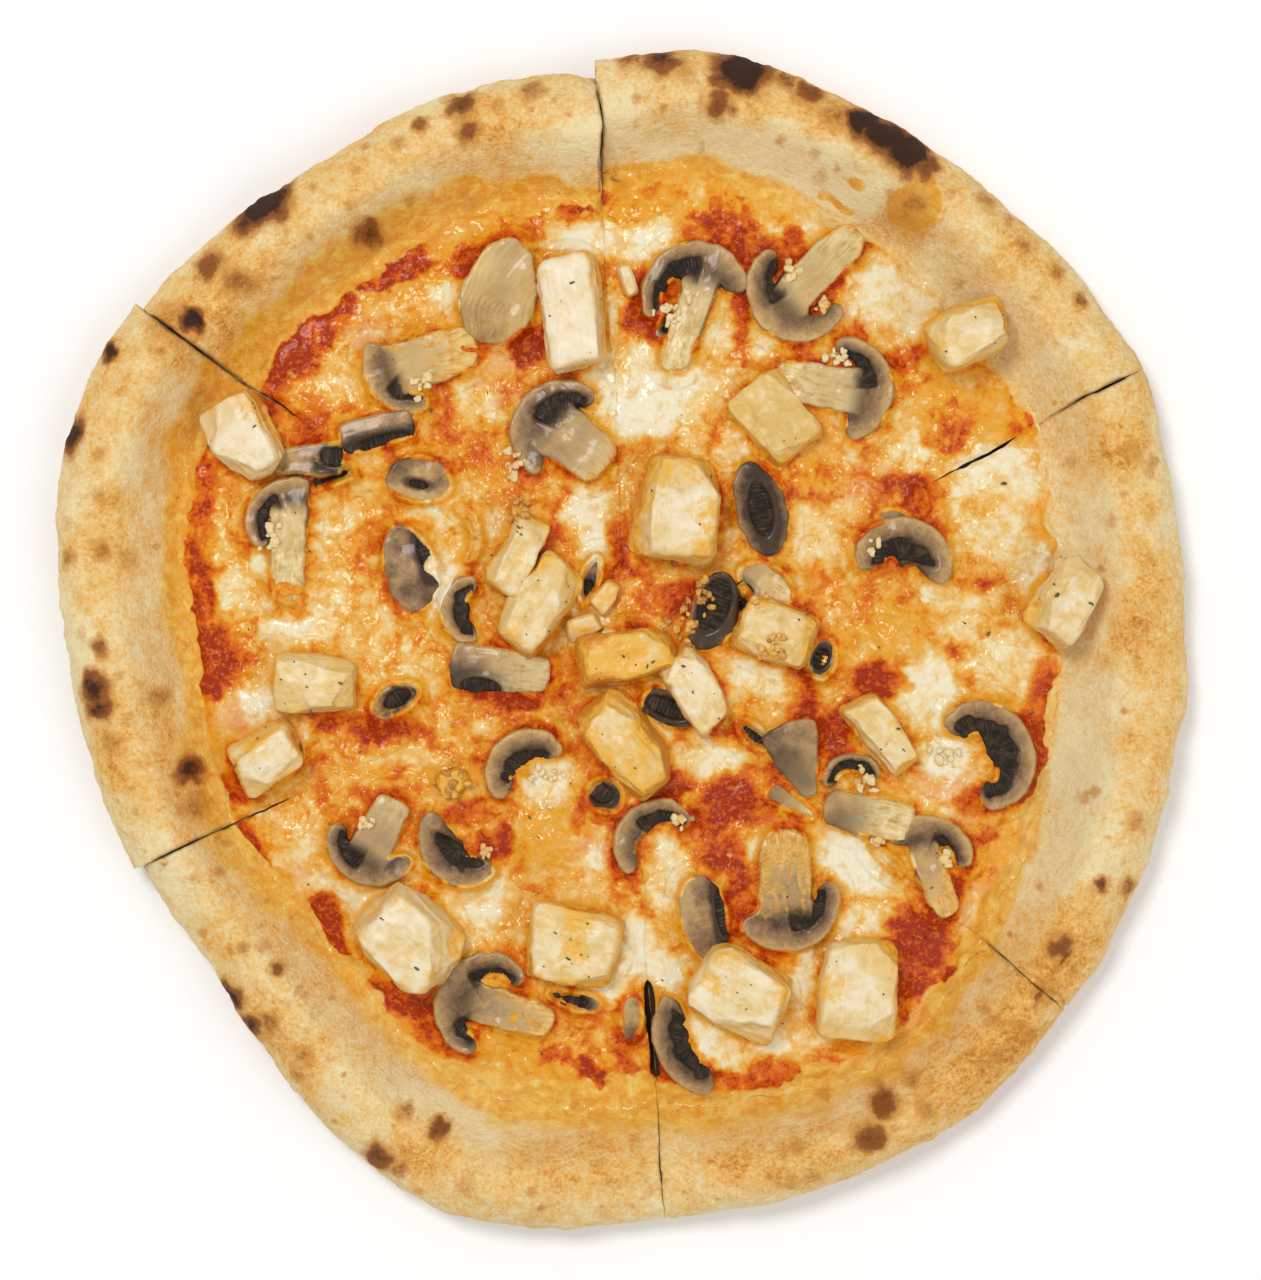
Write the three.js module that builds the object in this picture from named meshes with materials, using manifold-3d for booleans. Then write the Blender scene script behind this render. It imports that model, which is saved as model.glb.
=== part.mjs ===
// A chicken and mushroom pizza, baked in a hot oven and cut into six slices that still lie together.
// Millimetres, +Z up. The origin is on the table under the middle of the pizza; +Y is the far side.
//
// Each slice is a wedge of dough with a puffed rim, and a wedge of tomato sauce and molten cheese on it.
// On the cheese lie mushroom slices, cut lengthwise through cap and stem, and chunks of chicken breast.
import * as THREE from "three";
import { ConvexGeometry } from "three/addons/geometries/ConvexGeometry.js";
import { mergeVertices } from "three/addons/utils/BufferGeometryUtils.js";
import Module from "manifold-3d";

// ---- Driving dimensions ----

const DOUGH_THICKNESS = 3.6; // of the flat base under the topping
const RIM_HEIGHT = 21; // of the puffed rim's crown, on average
const CROWN_SHARE = 0.42; // of the rim's width, from its outer edge to its crown
const WIDEST_SHARE = 0.42; // of the rim's height, up to where it is widest
const FOOT_INSET = 7; // from the widest part of the rim in to where it rests
const CHEESE_THICKNESS = 3.6; // of sauce and cheese together
const CHEESE_EDGE = 1.4; // their thickness where they meet the rim
const CUT_GAP = 1.3; // left by the pizza wheel between two slices
const CLEARANCE = 0.3; // between pieces that lie on or against each other
const SEAT_CLEARANCE = 0.45; // between a topping and the uneven cheese under it
const MUSHROOM_THICKNESS = 3.8;
const CHUNK_CHAMFER = 2.4; // worn corners of a chicken chunk
const CUT_CENTRE = new THREE.Vector2(1.5, -1.1); // where the cuts meet, beside the pizza's own middle

const ANGLE_STEPS = 20; // of a slice of dough
const CHEESE_ANGLE_STEPS = 16;
const CHEESE_RADIUS_STEPS = 16;
const OUTER_STEPS = 4; // of each quarter of the rim's outer side
const INNER_STEPS = 5; // of the rim's inner slope

// Each slice lies between two cuts, in degrees from +X. rim holds its outer radius and width the width of
// its rim, at even steps from the first cut to the second.
const SLICES = [
  { name: "far_right", cuts: [28.2, 93], rim: [157, 157, 156, 157.5, 159, 161, 158], width: [33, 30, 33] },
  { name: "far_left", cuts: [93, 145.4], rim: [153, 155.5, 156, 154, 154.5, 157, 159], width: [34, 31, 35] },
  { name: "left", cuts: [145.4, 204.3], rim: [162, 161.5, 158.5, 154, 149.5, 148, 146], width: [33, 35, 30] },
  { name: "near_left", cuts: [204.3, 273.7], rim: [143, 142, 146, 154, 160, 159, 155], width: [26, 34, 33] },
  { name: "near_right", cuts: [273.7, 320], rim: [155, 155, 155, 156, 157, 155.5, 154], width: [31, 26, 30] },
  { name: "right", cuts: [320, 388.2], rim: [154, 152.5, 151, 151, 151, 152.5, 157], width: [31, 35, 33] },
];

// Mushroom slices with a cap. faces is the direction of the top of the cap, in degrees from +X. r is the
// cap's radius; left and right are how far its two wings reach round, in degrees from its top. stem and
// stemWidth are the stem's length and width, and lean its angle off the cap's axis. A row may also give
// dome, the height of the cap's top, and thick, the thickness of its flesh and gills, as shares of r.
const CAPS = [
  { x: 20, y: 92.8, faces: 75, r: 14.4, left: 125, right: 64, stem: 21, stemWidth: 8, lean: -4, dome: 1 },
  { x: 47.2, y: 94, faces: 225, r: 13.8, left: 112, right: 98, stem: 23, stemWidth: 10, dome: 0.95 },
  { x: 60, y: 67.4, faces: 348, r: 13.8, left: 110, right: 66, stem: 19, stemWidth: 11, lean: 2, dome: 0.92 },
  { x: -16, y: 56, faces: 160, r: 13.8, left: 74, right: 108, stem: 15, stemWidth: 14, lean: -20, dome: 1 },
  { x: -58.6, y: 73.5, faces: 203, r: 12.5, left: 98, right: 50, stem: 20, stemWidth: 12.5, lean: -5 },
  { x: -89.6, y: 33, faces: 112, r: 11.8, left: 115, right: 45, stem: 23, stemWidth: 8.5, lean: -24 },
  { x: 75.9, y: 21.6, faces: 75, r: 13, left: 118, right: 108, stem: 0, thick: 0.64 },
  { x: 98, y: -31, faces: 25, r: 14.8, left: 120, right: 120, stem: 0, thick: 0.6 },
  { x: -26, y: -34.4, faces: 130, r: 11.2, left: 100, right: 106, stem: 0, thick: 0.72 },
  { x: -67.5, y: -55.4, faces: 250, r: 12, left: 88, right: 100, stem: 14, stemWidth: 10, lean: -8 },
  { x: -43.6, y: -54.8, faces: 215, r: 12.2, left: 108, right: 80, stem: 0, thick: 0.9 },
  { x: 9, y: -53.8, faces: 130, r: 11.7, left: 100, right: 104, stem: 0 },
  { x: 44, y: -70.4, faces: 270, r: 14.4, left: 110, right: 60, stem: 19, stemWidth: 13.5, dome: 0.92 },
  { x: -37.4, y: -98, faces: 150, r: 14, left: 106, right: 118, stem: 19, stemWidth: 9.5, lean: 14, dome: 0.9 },
  { x: 81.8, y: -58, faces: 85, r: 12.3, left: 62, right: 98, stem: 17, stemWidth: 7.5, lean: 26 },
  { x: -41, y: 8.1, faces: 180, r: 8.8, left: 100, right: 100, stem: 0, thick: 0.8 },
  { x: 62, y: -37.4, faces: 100, r: 7.6, left: 90, right: 92, stem: 0 },
  { x: 22.6, y: -107, faces: 205, r: 16, left: 64, right: 66, stem: 0 },
];

// Mushroom pieces without a clear cap: oval ones cut across, and straight strips of stem or cap.
const OVALS = [
  { x: -33, y: 93.4, turn: 76, long: 27, wide: 20.5 },
  { x: 37.3, y: 35.2, turn: 101, long: 25, wide: 12.8 },
  { x: -57.2, y: 19.4, turn: 102, long: 24, wide: 13 },
  { x: 12.6, y: -18.4, turn: -22, long: 15, wide: 8.6 },
  { x: 22.2, y: -75, turn: 98, long: 24, wide: 11.6 },
  { x: 24.6, y: 7.4, turn: 70, long: 20, wide: 13 },
];
const STRIPS = [
  { x: -66, y: 56.2, turn: 14, long: 19.5, from: 8.5, to: 7.5 },
  { x: -84.8, y: 48.4, turn: 4, long: 19, from: 6, to: 9 },
  { x: 47.4, y: -32.4, turn: 288, long: 20, from: 16, to: 4 },
  { x: 66.6, y: -47.4, turn: 348, long: 23.5, from: 9.6, to: 10.6 },
  { x: -33, y: -8.2, turn: 354, long: 26, from: 13, to: 9 },
];

// Chunks of chicken breast: long by wide by high, turned about the vertical. narrow is how much less wide
// the far end is, top how much smaller the top is, and tip how far it tips over its long side.
const CHUNKS = [
  { x: -101.8, y: 54.5, turn: 300, long: 24, wide: 18, high: 12, narrow: 0.2, top: 0.12, tip: 9 },
  { x: -13.3, y: 88.3, turn: 277, long: 30, wide: 15.6, high: 12, narrow: 0.05, top: 0.1, tip: 7 },
  { x: 92.6, y: 81.6, turn: 22, long: 21, wide: 16, high: 11, narrow: 0.1, top: 0.25, tip: 4 },
  { x: 41.3, y: 60.2, turn: 308, long: 24, wide: 17, high: 7, narrow: 0.1, top: 0.08, tip: 0 },
  { x: 15.4, y: 34.6, turn: 80, long: 26, wide: 24, high: 14, narrow: 0.2, top: 0.18, tip: 5 },
  { x: -27.8, y: 23.2, turn: 62, long: 23, wide: 11.6, high: 11, narrow: 0.25, top: 0.1, tip: 4 },
  { x: -22.6, y: 9.6, turn: 54, long: 27, wide: 15, high: 11, narrow: 0.1, top: 0.12, tip: -4 },
  { x: -82.4, y: -11.6, turn: 357, long: 23, wide: 17, high: 9, narrow: 0.25, top: 0.1, tip: 0 },
  { x: -95, y: -31.6, turn: 30, long: 20, wide: 15, high: 12, narrow: 0.1, top: 0.15, tip: 10 },
  { x: 1.2, y: -4.2, turn: 8, long: 24, wide: 15, high: 9, narrow: 0.2, top: 0.2, tip: 0 },
  { x: 19.6, y: -13.4, turn: 302, long: 22, wide: 12.6, high: 8, narrow: 0.15, top: 0.1, tip: 0 },
  { x: 1.4, y: -28.2, turn: 308, long: 26.5, wide: 18, high: 12, narrow: 0.2, top: 0.2, tip: 6 },
  { x: 41.4, y: 2.2, turn: 340, long: 23.5, wide: 16.5, high: 10, narrow: 0.1, top: 0.2, tip: 0 },
  { x: 70.2, y: -25.6, turn: 305, long: 23, wide: 12, high: 8, narrow: 0.25, top: 0.15, tip: 0 },
  { x: 119, y: 10.6, turn: 56, long: 21, wide: 16, high: 9, narrow: 0.2, top: 0.15, tip: 14 },
  { x: -56.7, y: -81, turn: 318, long: 29, wide: 24, high: 15, narrow: 0.12, top: 0.22, tip: 6 },
  { x: -13.5, y: -82.4, turn: 350, long: 22.5, wide: 21, high: 9, narrow: 0.1, top: 0.12, tip: 0 },
  { x: 32, y: -95.4, turn: 330, long: 25, wide: 21, high: 11, narrow: 0.1, top: 0.15, tip: 5 },
  { x: 63.6, y: -94, turn: 86, long: 24.5, wide: 21, high: 8, narrow: 0.1, top: 0.1, tip: 0 },
];

// Lumps where the cheese has flowed over a piece of chicken or closed over a cut.
const LUMPS = [
  { x: 74.5, y: 1.4, radius: 15, high: 3.4 },
  { x: -20.5, y: -54, radius: 14, high: 3.6 },
  { x: 49, y: 43, radius: 9, high: 2.6 },
  { x: 0.6, y: -88, radius: 8, high: 2.4 },
  { x: -56, y: 42, radius: 10, high: 1.8 },
];

// ---- Shape of the dough and the cheese ----

const radians = THREE.MathUtils.degToRad;
const smooth = (t) => t * t * (3 - 2 * t);

// The value at share t of a list of evenly spaced ones, on a smooth curve through them.
function along(values, t) {
  const place = t * (values.length - 1);
  const i = Math.min(Math.floor(place), values.length - 2);
  const at = (k) => values[Math.max(0, Math.min(values.length - 1, k))];
  const f = place - i;
  const slopeIn = (at(i + 1) - at(i - 1)) / 2;
  const slopeOut = (at(i + 2) - at(i)) / 2;
  const fromHere = at(i) * (1 + 2 * f) + slopeIn * f;
  const toNext = at(i + 1) * (3 - 2 * f) - slopeOut * (1 - f);
  return fromHere * (1 - f) ** 2 + toNext * f ** 2;
}

// Slow swells of the rim's height and of the cheese, in millimetres at a point of the pizza.
const rimSwell = (x, y) =>
  1.7 * Math.sin(x / 14 + 0.6) * Math.cos(y / 16 - 0.4) + 1.1 * Math.sin((x - y) / 10 + 2.1);
const cheeseSwell = (x, y) =>
  0.45 * Math.sin(x / 12 + 1.1) * Math.cos(y / 10 + 0.3) + 0.3 * Math.sin((x + 1.7 * y) / 16);

// How high a slice's dough stands at a distance in from its outer edge, and how high its cheese.
function doughTop(inward, width, x, y) {
  const crown = RIM_HEIGHT + rimSwell(x, y);
  const crownAt = CROWN_SHARE * width;
  if (inward <= crownAt) {
    const across = 1 - inward / crownAt;
    return crown * (WIDEST_SHARE + (1 - WIDEST_SHARE) * Math.sqrt(Math.max(0, 1 - across * across)));
  }
  const down = Math.min(1, (inward - crownAt) / (width - crownAt));
  return DOUGH_THICKNESS + (crown - DOUGH_THICKNESS) * (1 - smooth(down));
}

function cheeseTop(x, y, inward) {
  const full = Math.min(1, Math.max(0, inward / 12));
  const thick = CHEESE_EDGE + (CHEESE_THICKNESS + cheeseSwell(x, y) - CHEESE_EDGE) * smooth(full);
  const lumps = LUMPS.reduce((sum, lump) => {
    const away = Math.hypot(x - lump.x, y - lump.y) / lump.radius;
    return sum + (away < 1 ? lump.high * smooth(1 - away) : 0);
  }, 0);
  return DOUGH_THICKNESS + CLEARANCE + thick + lumps * smooth(full);
}

// A slice's tip, moved out so that the cuts stay open, and its rim at any share of its arc.
function sliceFrame(slice) {
  const [first, second] = slice.cuts.map(radians);
  const middle = (first + second) / 2;
  const out = CUT_GAP / 2 / Math.sin((second - first) / 2);
  const tip = new THREE.Vector2(Math.cos(middle), Math.sin(middle)).multiplyScalar(out).add(CUT_CENTRE);
  const station = (share) => {
    const angle = THREE.MathUtils.lerp(first, second, share);
    const direction = new THREE.Vector2(Math.cos(angle), Math.sin(angle));
    const reach = along(slice.rim, share) - out * Math.cos(angle - middle);
    return { direction, reach, width: along(slice.width, share) };
  };
  return { tip, station };
}

// A closed wedge. Each ring is a section of it, from the foot of its outer end up and back towards the tip,
// where all sections share tipLow and tipHigh.
function wedgeGeometry(tipLow, tipHigh, rings) {
  const points = [tipLow, tipHigh, ...rings.flat()];
  const size = rings[0].length;
  const at = (ring, k) => 2 + ring * size + k;
  const faces = [];
  for (let ring = 0; ring + 1 < rings.length; ring++) {
    faces.push([0, at(ring + 1, 0), at(ring, 0)]);
    for (let k = 0; k + 1 < size; k++) {
      faces.push([at(ring, k), at(ring + 1, k), at(ring + 1, k + 1)]);
      faces.push([at(ring, k), at(ring + 1, k + 1), at(ring, k + 1)]);
    }
    faces.push([at(ring, size - 1), at(ring + 1, size - 1), 1]);
  }
  const endFaces = (ring, turned) => {
    const section = [tipLow, ...rings[ring], tipHigh];
    const flat = section.map((p) => new THREE.Vector2(Math.hypot(p.x - tipLow.x, p.y - tipLow.y), p.z));
    const index = [0, ...rings[ring].map((_, k) => at(ring, k)), 1];
    for (const [a, b, c] of THREE.ShapeUtils.triangulateShape(flat, []))
      faces.push(turned ? [index[a], index[c], index[b]] : [index[a], index[b], index[c]]);
  };
  endFaces(0, false);
  endFaces(rings.length - 1, true);
  const geometry = new THREE.BufferGeometry().setFromPoints(points);
  return geometry.setIndex(faces.flat());
}

// A point at a distance from a slice's tip and a height.
const over = (tip, direction, reach, z) =>
  new THREE.Vector3(tip.x + direction.x * reach, tip.y + direction.y * reach, z);

function doughGeometry(slice) {
  const { tip, station } = sliceFrame(slice);
  const quarter = (k) => (Math.PI / 2) * (k / OUTER_STEPS);
  const rings = [];
  for (let i = 0; i <= ANGLE_STEPS; i++) {
    const { direction, reach, width } = station(i / ANGLE_STEPS);
    const edge = over(tip, direction, reach, 0);
    const widest = WIDEST_SHARE * (RIM_HEIGHT + rimSwell(edge.x, edge.y));
    const ring = [];
    for (let k = 0; k < OUTER_STEPS; k++) {
      const inset = FOOT_INSET * (1 - Math.sin(quarter(k)));
      ring.push(over(tip, direction, reach - inset, widest * (1 - Math.cos(quarter(k)))));
    }
    const crownAt = CROWN_SHARE * width;
    const inwards = [];
    for (let k = 0; k < OUTER_STEPS; k++) inwards.push(crownAt * (1 - Math.cos(quarter(k))));
    for (let k = 0; k <= INNER_STEPS; k++) inwards.push(crownAt + (width - crownAt) * (k / INNER_STEPS));
    for (const inward of inwards) {
      const p = over(tip, direction, reach - inward, 0);
      ring.push(p.setZ(doughTop(inward, width, p.x, p.y)));
    }
    rings.push(ring);
  }
  return wedgeGeometry(over(tip, rings[0][0], 0, 0), over(tip, rings[0][0], 0, DOUGH_THICKNESS), rings);
}

function cheeseGeometry(slice) {
  const { tip, station } = sliceFrame(slice);
  const low = DOUGH_THICKNESS + CLEARANCE;
  const rings = [];
  for (let i = 0; i <= CHEESE_ANGLE_STEPS; i++) {
    const { direction, reach, width } = station(i / CHEESE_ANGLE_STEPS);
    const edge = reach - width - CLEARANCE;
    const ring = [over(tip, direction, edge, low)];
    for (let k = CHEESE_RADIUS_STEPS; k > 0; k--) {
      const out = edge * (k / CHEESE_RADIUS_STEPS);
      const p = over(tip, direction, out, 0);
      ring.push(p.setZ(cheeseTop(p.x, p.y, edge - out)));
    }
    rings.push(ring);
  }
  const high = cheeseTop(tip.x, tip.y, Infinity);
  return wedgeGeometry(over(tip, rings[0][0], 0, low), over(tip, rings[0][0], 0, high), rings);
}

// ---- Shape of the toppings ----

// A closed outline in the plane as a solid of a given thickness, standing on z = 0.
function plate(outline, thickness) {
  return new THREE.ExtrudeGeometry(new THREE.Shape(outline), { depth: thickness, bevelEnabled: false });
}

// An outline moved outwards all round by a distance.
function grown(outline, distance) {
  const n = outline.length;
  return outline.map((p, i) => {
    const ahead = outline[(i + 1) % n];
    const behind = outline[(i + n - 1) % n];
    const side = new THREE.Vector2(ahead.y - behind.y, behind.x - ahead.x).normalize();
    return p.clone().addScaledVector(side, distance);
  });
}

// The outline of a mushroom cut through cap and stem, with the cap's top towards +Y and its middle at the
// origin: over the cap, round each wing's tip, back under the wings, and down and up the stem.
function capOutline({ r, left, right, stem, stemWidth = 0, lean = 0, dome = 0.86, thick = 0.56 }) {
  const ARC_STEPS = 9;
  const UNDER_STEPS = 4;
  const high = dome * r;
  const flesh = (a) => r * thick * (1 - 0.43 * Math.min(1, Math.abs(a) / radians(110)) ** 1.5);
  const onArc = (a, inset) => new THREE.Vector2((r - inset) * Math.sin(a), (high - inset) * Math.cos(a));
  const half = stemWidth / 2;
  const joint = stem ? Math.asin(Math.min(1, half / (r - flesh(0)))) : radians(6);
  const [toLeft, toRight] = [-radians(left), radians(right)];
  const points = [];
  for (let k = 0; k <= ARC_STEPS; k++)
    points.push(onArc(THREE.MathUtils.lerp(toRight, toLeft, k / ARC_STEPS), 0));
  points.push(onArc(toLeft - radians(7), flesh(toLeft) / 2));
  if (-toLeft > joint)
    for (let k = 0; k < UNDER_STEPS; k++) {
      const a = THREE.MathUtils.lerp(toLeft, -joint, k / UNDER_STEPS);
      points.push(onArc(a, flesh(a)));
    }
  if (stem) {
    const down = new THREE.Vector2(Math.sin(radians(lean)), -Math.cos(radians(lean)));
    const across = new THREE.Vector2(-down.y, down.x);
    const top = (high - flesh(0)) * 0.9;
    const corner = (side, length, wide) =>
      new THREE.Vector2().addScaledVector(down, length).addScaledVector(across, side * half * wide);
    points.push(corner(-1, -top * 0.5, 1), corner(-1, stem * 0.8, 0.95), corner(-0.6, stem, 1));
    points.push(corner(0.6, stem, 1), corner(1, stem * 0.8, 0.95), corner(1, -top * 0.5, 1));
  } else points.push(onArc(0, flesh(0)));
  if (toRight > joint)
    for (let k = UNDER_STEPS - 1; k >= 0; k--) {
      const a = THREE.MathUtils.lerp(toRight, joint, k / UNDER_STEPS);
      points.push(onArc(a, flesh(a)));
    }
  points.push(onArc(toRight + radians(7), flesh(toRight) / 2));
  return points;
}

function ovalOutline({ long, wide }) {
  const STEPS = 14;
  const uneven = (a) => 1 + 0.05 * Math.sin(2 * a + long) + 0.04 * Math.sin(3 * a + wide);
  return Array.from({ length: STEPS }, (_, k) => {
    const a = (2 * Math.PI * k) / STEPS;
    return new THREE.Vector2((long / 2) * Math.cos(a), (wide / 2) * Math.sin(a)).multiplyScalar(uneven(a));
  });
}

function stripOutline({ long, from, to }) {
  const CORNER = 0.16; // of the strip's width, cut off each corner
  const corners = [];
  for (const [end, wide, side] of [[-1, from, -1], [1, to, -1], [1, to, 1], [-1, from, 1]]) {
    const alongIt = new THREE.Vector2(end * (long / 2 - CORNER * wide), (side * wide) / 2);
    const acrossIt = new THREE.Vector2((end * long) / 2, side * (0.5 - CORNER) * wide);
    corners.push(...(end * side > 0 ? [acrossIt, alongIt] : [alongIt, acrossIt]));
  }
  return corners;
}

// A chunk of chicken: a box whose far end and top are narrower, with its corners worn off.
function chunkGeometry({ long, wide, high, narrow, top }, extra) {
  const SKEW = 0.06; // of its length, by which its corners are out of square
  const corners = [-1, 1].flatMap((sx) => [-1, 1].flatMap((sy) => [0, 1].map((sz) => [sx, sy, sz])));
  const points = corners.flatMap(([sx, sy, sz]) => {
    const shrink = 1 - top * sz;
    const skew = SKEW * long * Math.sin(long + wide * sy + 2 * sx);
    const x = sx * (long / 2 + extra) * shrink + skew * sy;
    const y = sy * (wide / 2 + extra) * shrink * (sx > 0 ? 1 - narrow : 1);
    const z = sz ? high + extra : -extra;
    return [
      new THREE.Vector3(x - sx * CHUNK_CHAMFER, y, z),
      new THREE.Vector3(x, y - sy * CHUNK_CHAMFER, z),
      new THREE.Vector3(x, y, z + (sz ? -CHUNK_CHAMFER : CHUNK_CHAMFER)),
    ];
  });
  return new ConvexGeometry(points);
}

// ---- Laying the toppings on the pizza ----

const wasm = await Module();
wasm.setup();

function solidOf(geometry) {
  const bare = geometry.clone().deleteAttribute("normal");
  if (bare.getAttribute("uv")) bare.deleteAttribute("uv");
  const merged = mergeVertices(bare, 1e-4);
  return new wasm.Manifold(
    new wasm.Mesh({
      numProp: 3,
      vertProperties: merged.attributes.position.array,
      triVerts: new Uint32Array(merged.index.array),
    }),
  );
}

function geometryOf(solid) {
  const { vertProperties, triVerts } = solid.getMesh();
  return new THREE.BufferGeometry()
    .setAttribute("position", new THREE.BufferAttribute(vertProperties, 3))
    .setIndex(new THREE.BufferAttribute(triVerts, 1));
}

// How high the dough and cheese stand at a point, whichever slice it lies on.
function groundAt(x, y) {
  const angle = THREE.MathUtils.radToDeg(Math.atan2(y - CUT_CENTRE.y, x - CUT_CENTRE.x));
  const past = (cut) => THREE.MathUtils.euclideanModulo(angle - cut, 360);
  const slice = SLICES.find(({ cuts: [first, second] }) => past(first) < second - first);
  const share = past(slice.cuts[0]) / (slice.cuts[1] - slice.cuts[0]);
  const inward = along(slice.rim, share) - Math.hypot(x - CUT_CENTRE.x, y - CUT_CENTRE.y);
  const width = along(slice.width, share);
  if (inward < width) return doughTop(inward, width, x, y);
  return cheeseTop(x, y, inward - width);
}

// Points all over a geometry's underside, close enough together to feel the ground under them.
function samplesUnder(geometry) {
  const STEPS = 4; // along each side of a face
  const position = geometry.getAttribute("position");
  const samples = [];
  for (let i = 0; i < position.count; i += 3) {
    const [a, b, c] = [0, 1, 2].map((k) => new THREE.Vector3().fromBufferAttribute(position, i + k));
    if (new THREE.Triangle(a, b, c).getNormal(new THREE.Vector3()).z >= 0) continue;
    for (let u = 0; u <= STEPS; u++)
      for (let v = 0; u + v <= STEPS; v++) {
        const towardsB = b.clone().sub(a).multiplyScalar(u / STEPS);
        const towardsC = c.clone().sub(a).multiplyScalar(v / STEPS);
        samples.push(a.clone().add(towardsB).add(towardsC));
      }
  }
  return samples;
}

const named = (kind, rows) =>
  rows.map((row, i) => ({ name: `${kind}_${String(i + 1).padStart(2, "0")}`, ...row }));
const plated = (outline) => (extra) =>
  plate(grown(outline, extra), MUSHROOM_THICKNESS + 2 * extra).translate(0, 0, -extra);

// A topping is a name, how it lies, and its shape in its own frame, grown all round by an extra distance.
const toppings = [
  ...named("chicken", CHUNKS.map((row) => ({ ...row, shape: (extra) => chunkGeometry(row, extra) }))),
  ...named("mushroom", [
    ...CAPS.map((row) => ({ ...row, tip: 0, turn: row.faces - 90, shape: plated(capOutline(row)) })),
    ...OVALS.map((row) => ({ ...row, tip: 0, shape: plated(ovalOutline(row)) })),
    ...STRIPS.map((row) => ({ ...row, tip: 0, shape: plated(stripOutline(row)) })),
  ]),
];

// Sets a topping down until some point of it is on the ground.
function placed(topping) {
  const lying = new THREE.Matrix4().makeRotationFromEuler(
    new THREE.Euler(radians(topping.tip), 0, radians(topping.turn), "ZYX"),
  );
  lying.setPosition(topping.x, topping.y, 0);
  const samples = samplesUnder(topping.shape(0).applyMatrix4(lying));
  const lift = Math.max(...samples.map((p) => groundAt(p.x, p.y) - p.z)) + SEAT_CLEARANCE;
  const matrix = new THREE.Matrix4().makeTranslation(0, 0, lift).multiply(lying);
  return {
    ...topping,
    solid: solidOf(topping.shape(0).applyMatrix4(matrix)),
    room: solidOf(topping.shape(CLEARANCE).applyMatrix4(matrix)),
  };
}

// Where two toppings would meet, the one laid later is pressed back from the earlier one.
function pressedTogether(rows) {
  const done = [];
  for (const row of rows) {
    let solid = row.solid;
    for (const earlier of done)
      if (solid.intersect(earlier.room).volume() > 0) solid = solid.subtract(earlier.room);
    const pieces = solid.decompose().sort((a, b) => b.volume() - a.volume());
    done.push({ ...row, solid: pieces[0] });
  }
  return done;
}

// ---- The pizza ----

const crustMaterial = new THREE.MeshStandardMaterial({ color: 0xe0bd82, roughness: 0.85, metalness: 0 });
const cheeseMaterial = new THREE.MeshStandardMaterial({ color: 0xf0b768, roughness: 0.4, metalness: 0 });
const mushroomMaterial = new THREE.MeshStandardMaterial({ color: 0x94806a, roughness: 0.45, metalness: 0 });
const chickenMaterial = new THREE.MeshStandardMaterial({ color: 0xecd7a2, roughness: 0.55, metalness: 0 });

function piece(name, geometry, material) {
  const made = new THREE.Mesh(geometry, material);
  made.name = name;
  geometry.computeVertexNormals();
  return made;
}

const pizza = new THREE.Group();
for (const slice of SLICES) {
  pizza.add(piece(`crust_${slice.name}`, doughGeometry(slice), crustMaterial));
  pizza.add(piece(`cheese_${slice.name}`, cheeseGeometry(slice), cheeseMaterial));
}
for (const topping of pressedTogether(toppings.map(placed))) {
  const material = topping.name.startsWith("chicken") ? chickenMaterial : mushroomMaterial;
  pizza.add(piece(topping.name, geometryOf(topping.solid), material));
}

export default pizza;
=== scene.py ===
# A baked chicken and mushroom pizza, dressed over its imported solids.
#
# Lengths are millimetres in the row frame, and mesh() turns them into metres. The dough is six slices whose
# relief and baked patches come from noise in space; the cheese, the mushrooms and the chicken are shaped by
# the same rows of numbers as the solids, and stand where the solids stand.
import math

import bpy
import numpy as np
from mathutils import Matrix, Vector


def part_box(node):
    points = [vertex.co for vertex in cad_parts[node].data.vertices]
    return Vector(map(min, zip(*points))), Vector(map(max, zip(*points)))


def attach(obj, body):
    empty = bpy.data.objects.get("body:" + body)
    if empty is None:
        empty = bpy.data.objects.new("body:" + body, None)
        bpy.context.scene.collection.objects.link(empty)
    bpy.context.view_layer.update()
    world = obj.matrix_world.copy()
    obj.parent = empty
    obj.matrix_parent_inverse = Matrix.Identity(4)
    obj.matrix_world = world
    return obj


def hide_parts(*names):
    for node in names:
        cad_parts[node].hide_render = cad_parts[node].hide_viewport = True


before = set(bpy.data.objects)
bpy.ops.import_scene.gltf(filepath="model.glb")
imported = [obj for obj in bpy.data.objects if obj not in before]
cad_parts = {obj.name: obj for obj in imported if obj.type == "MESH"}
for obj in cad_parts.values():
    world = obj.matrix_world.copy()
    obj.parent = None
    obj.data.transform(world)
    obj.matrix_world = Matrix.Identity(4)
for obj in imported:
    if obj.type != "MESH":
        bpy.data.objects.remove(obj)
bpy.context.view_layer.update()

MM = 0.001

# ---- Driving dimensions, the same as those of the solids ----

DOUGH_THICKNESS = 3.6
RIM_HEIGHT = 21.0
CROWN_SHARE = 0.42
WIDEST_SHARE = 0.42
FOOT_INSET = 7.0
CHEESE_THICKNESS = 3.6
CHEESE_EDGE = 1.4
CLEARANCE = 0.3
MUSHROOM_THICKNESS = 3.8
CENTRE_X, CENTRE_Y = 1.5, -1.1  # where the cuts meet

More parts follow.
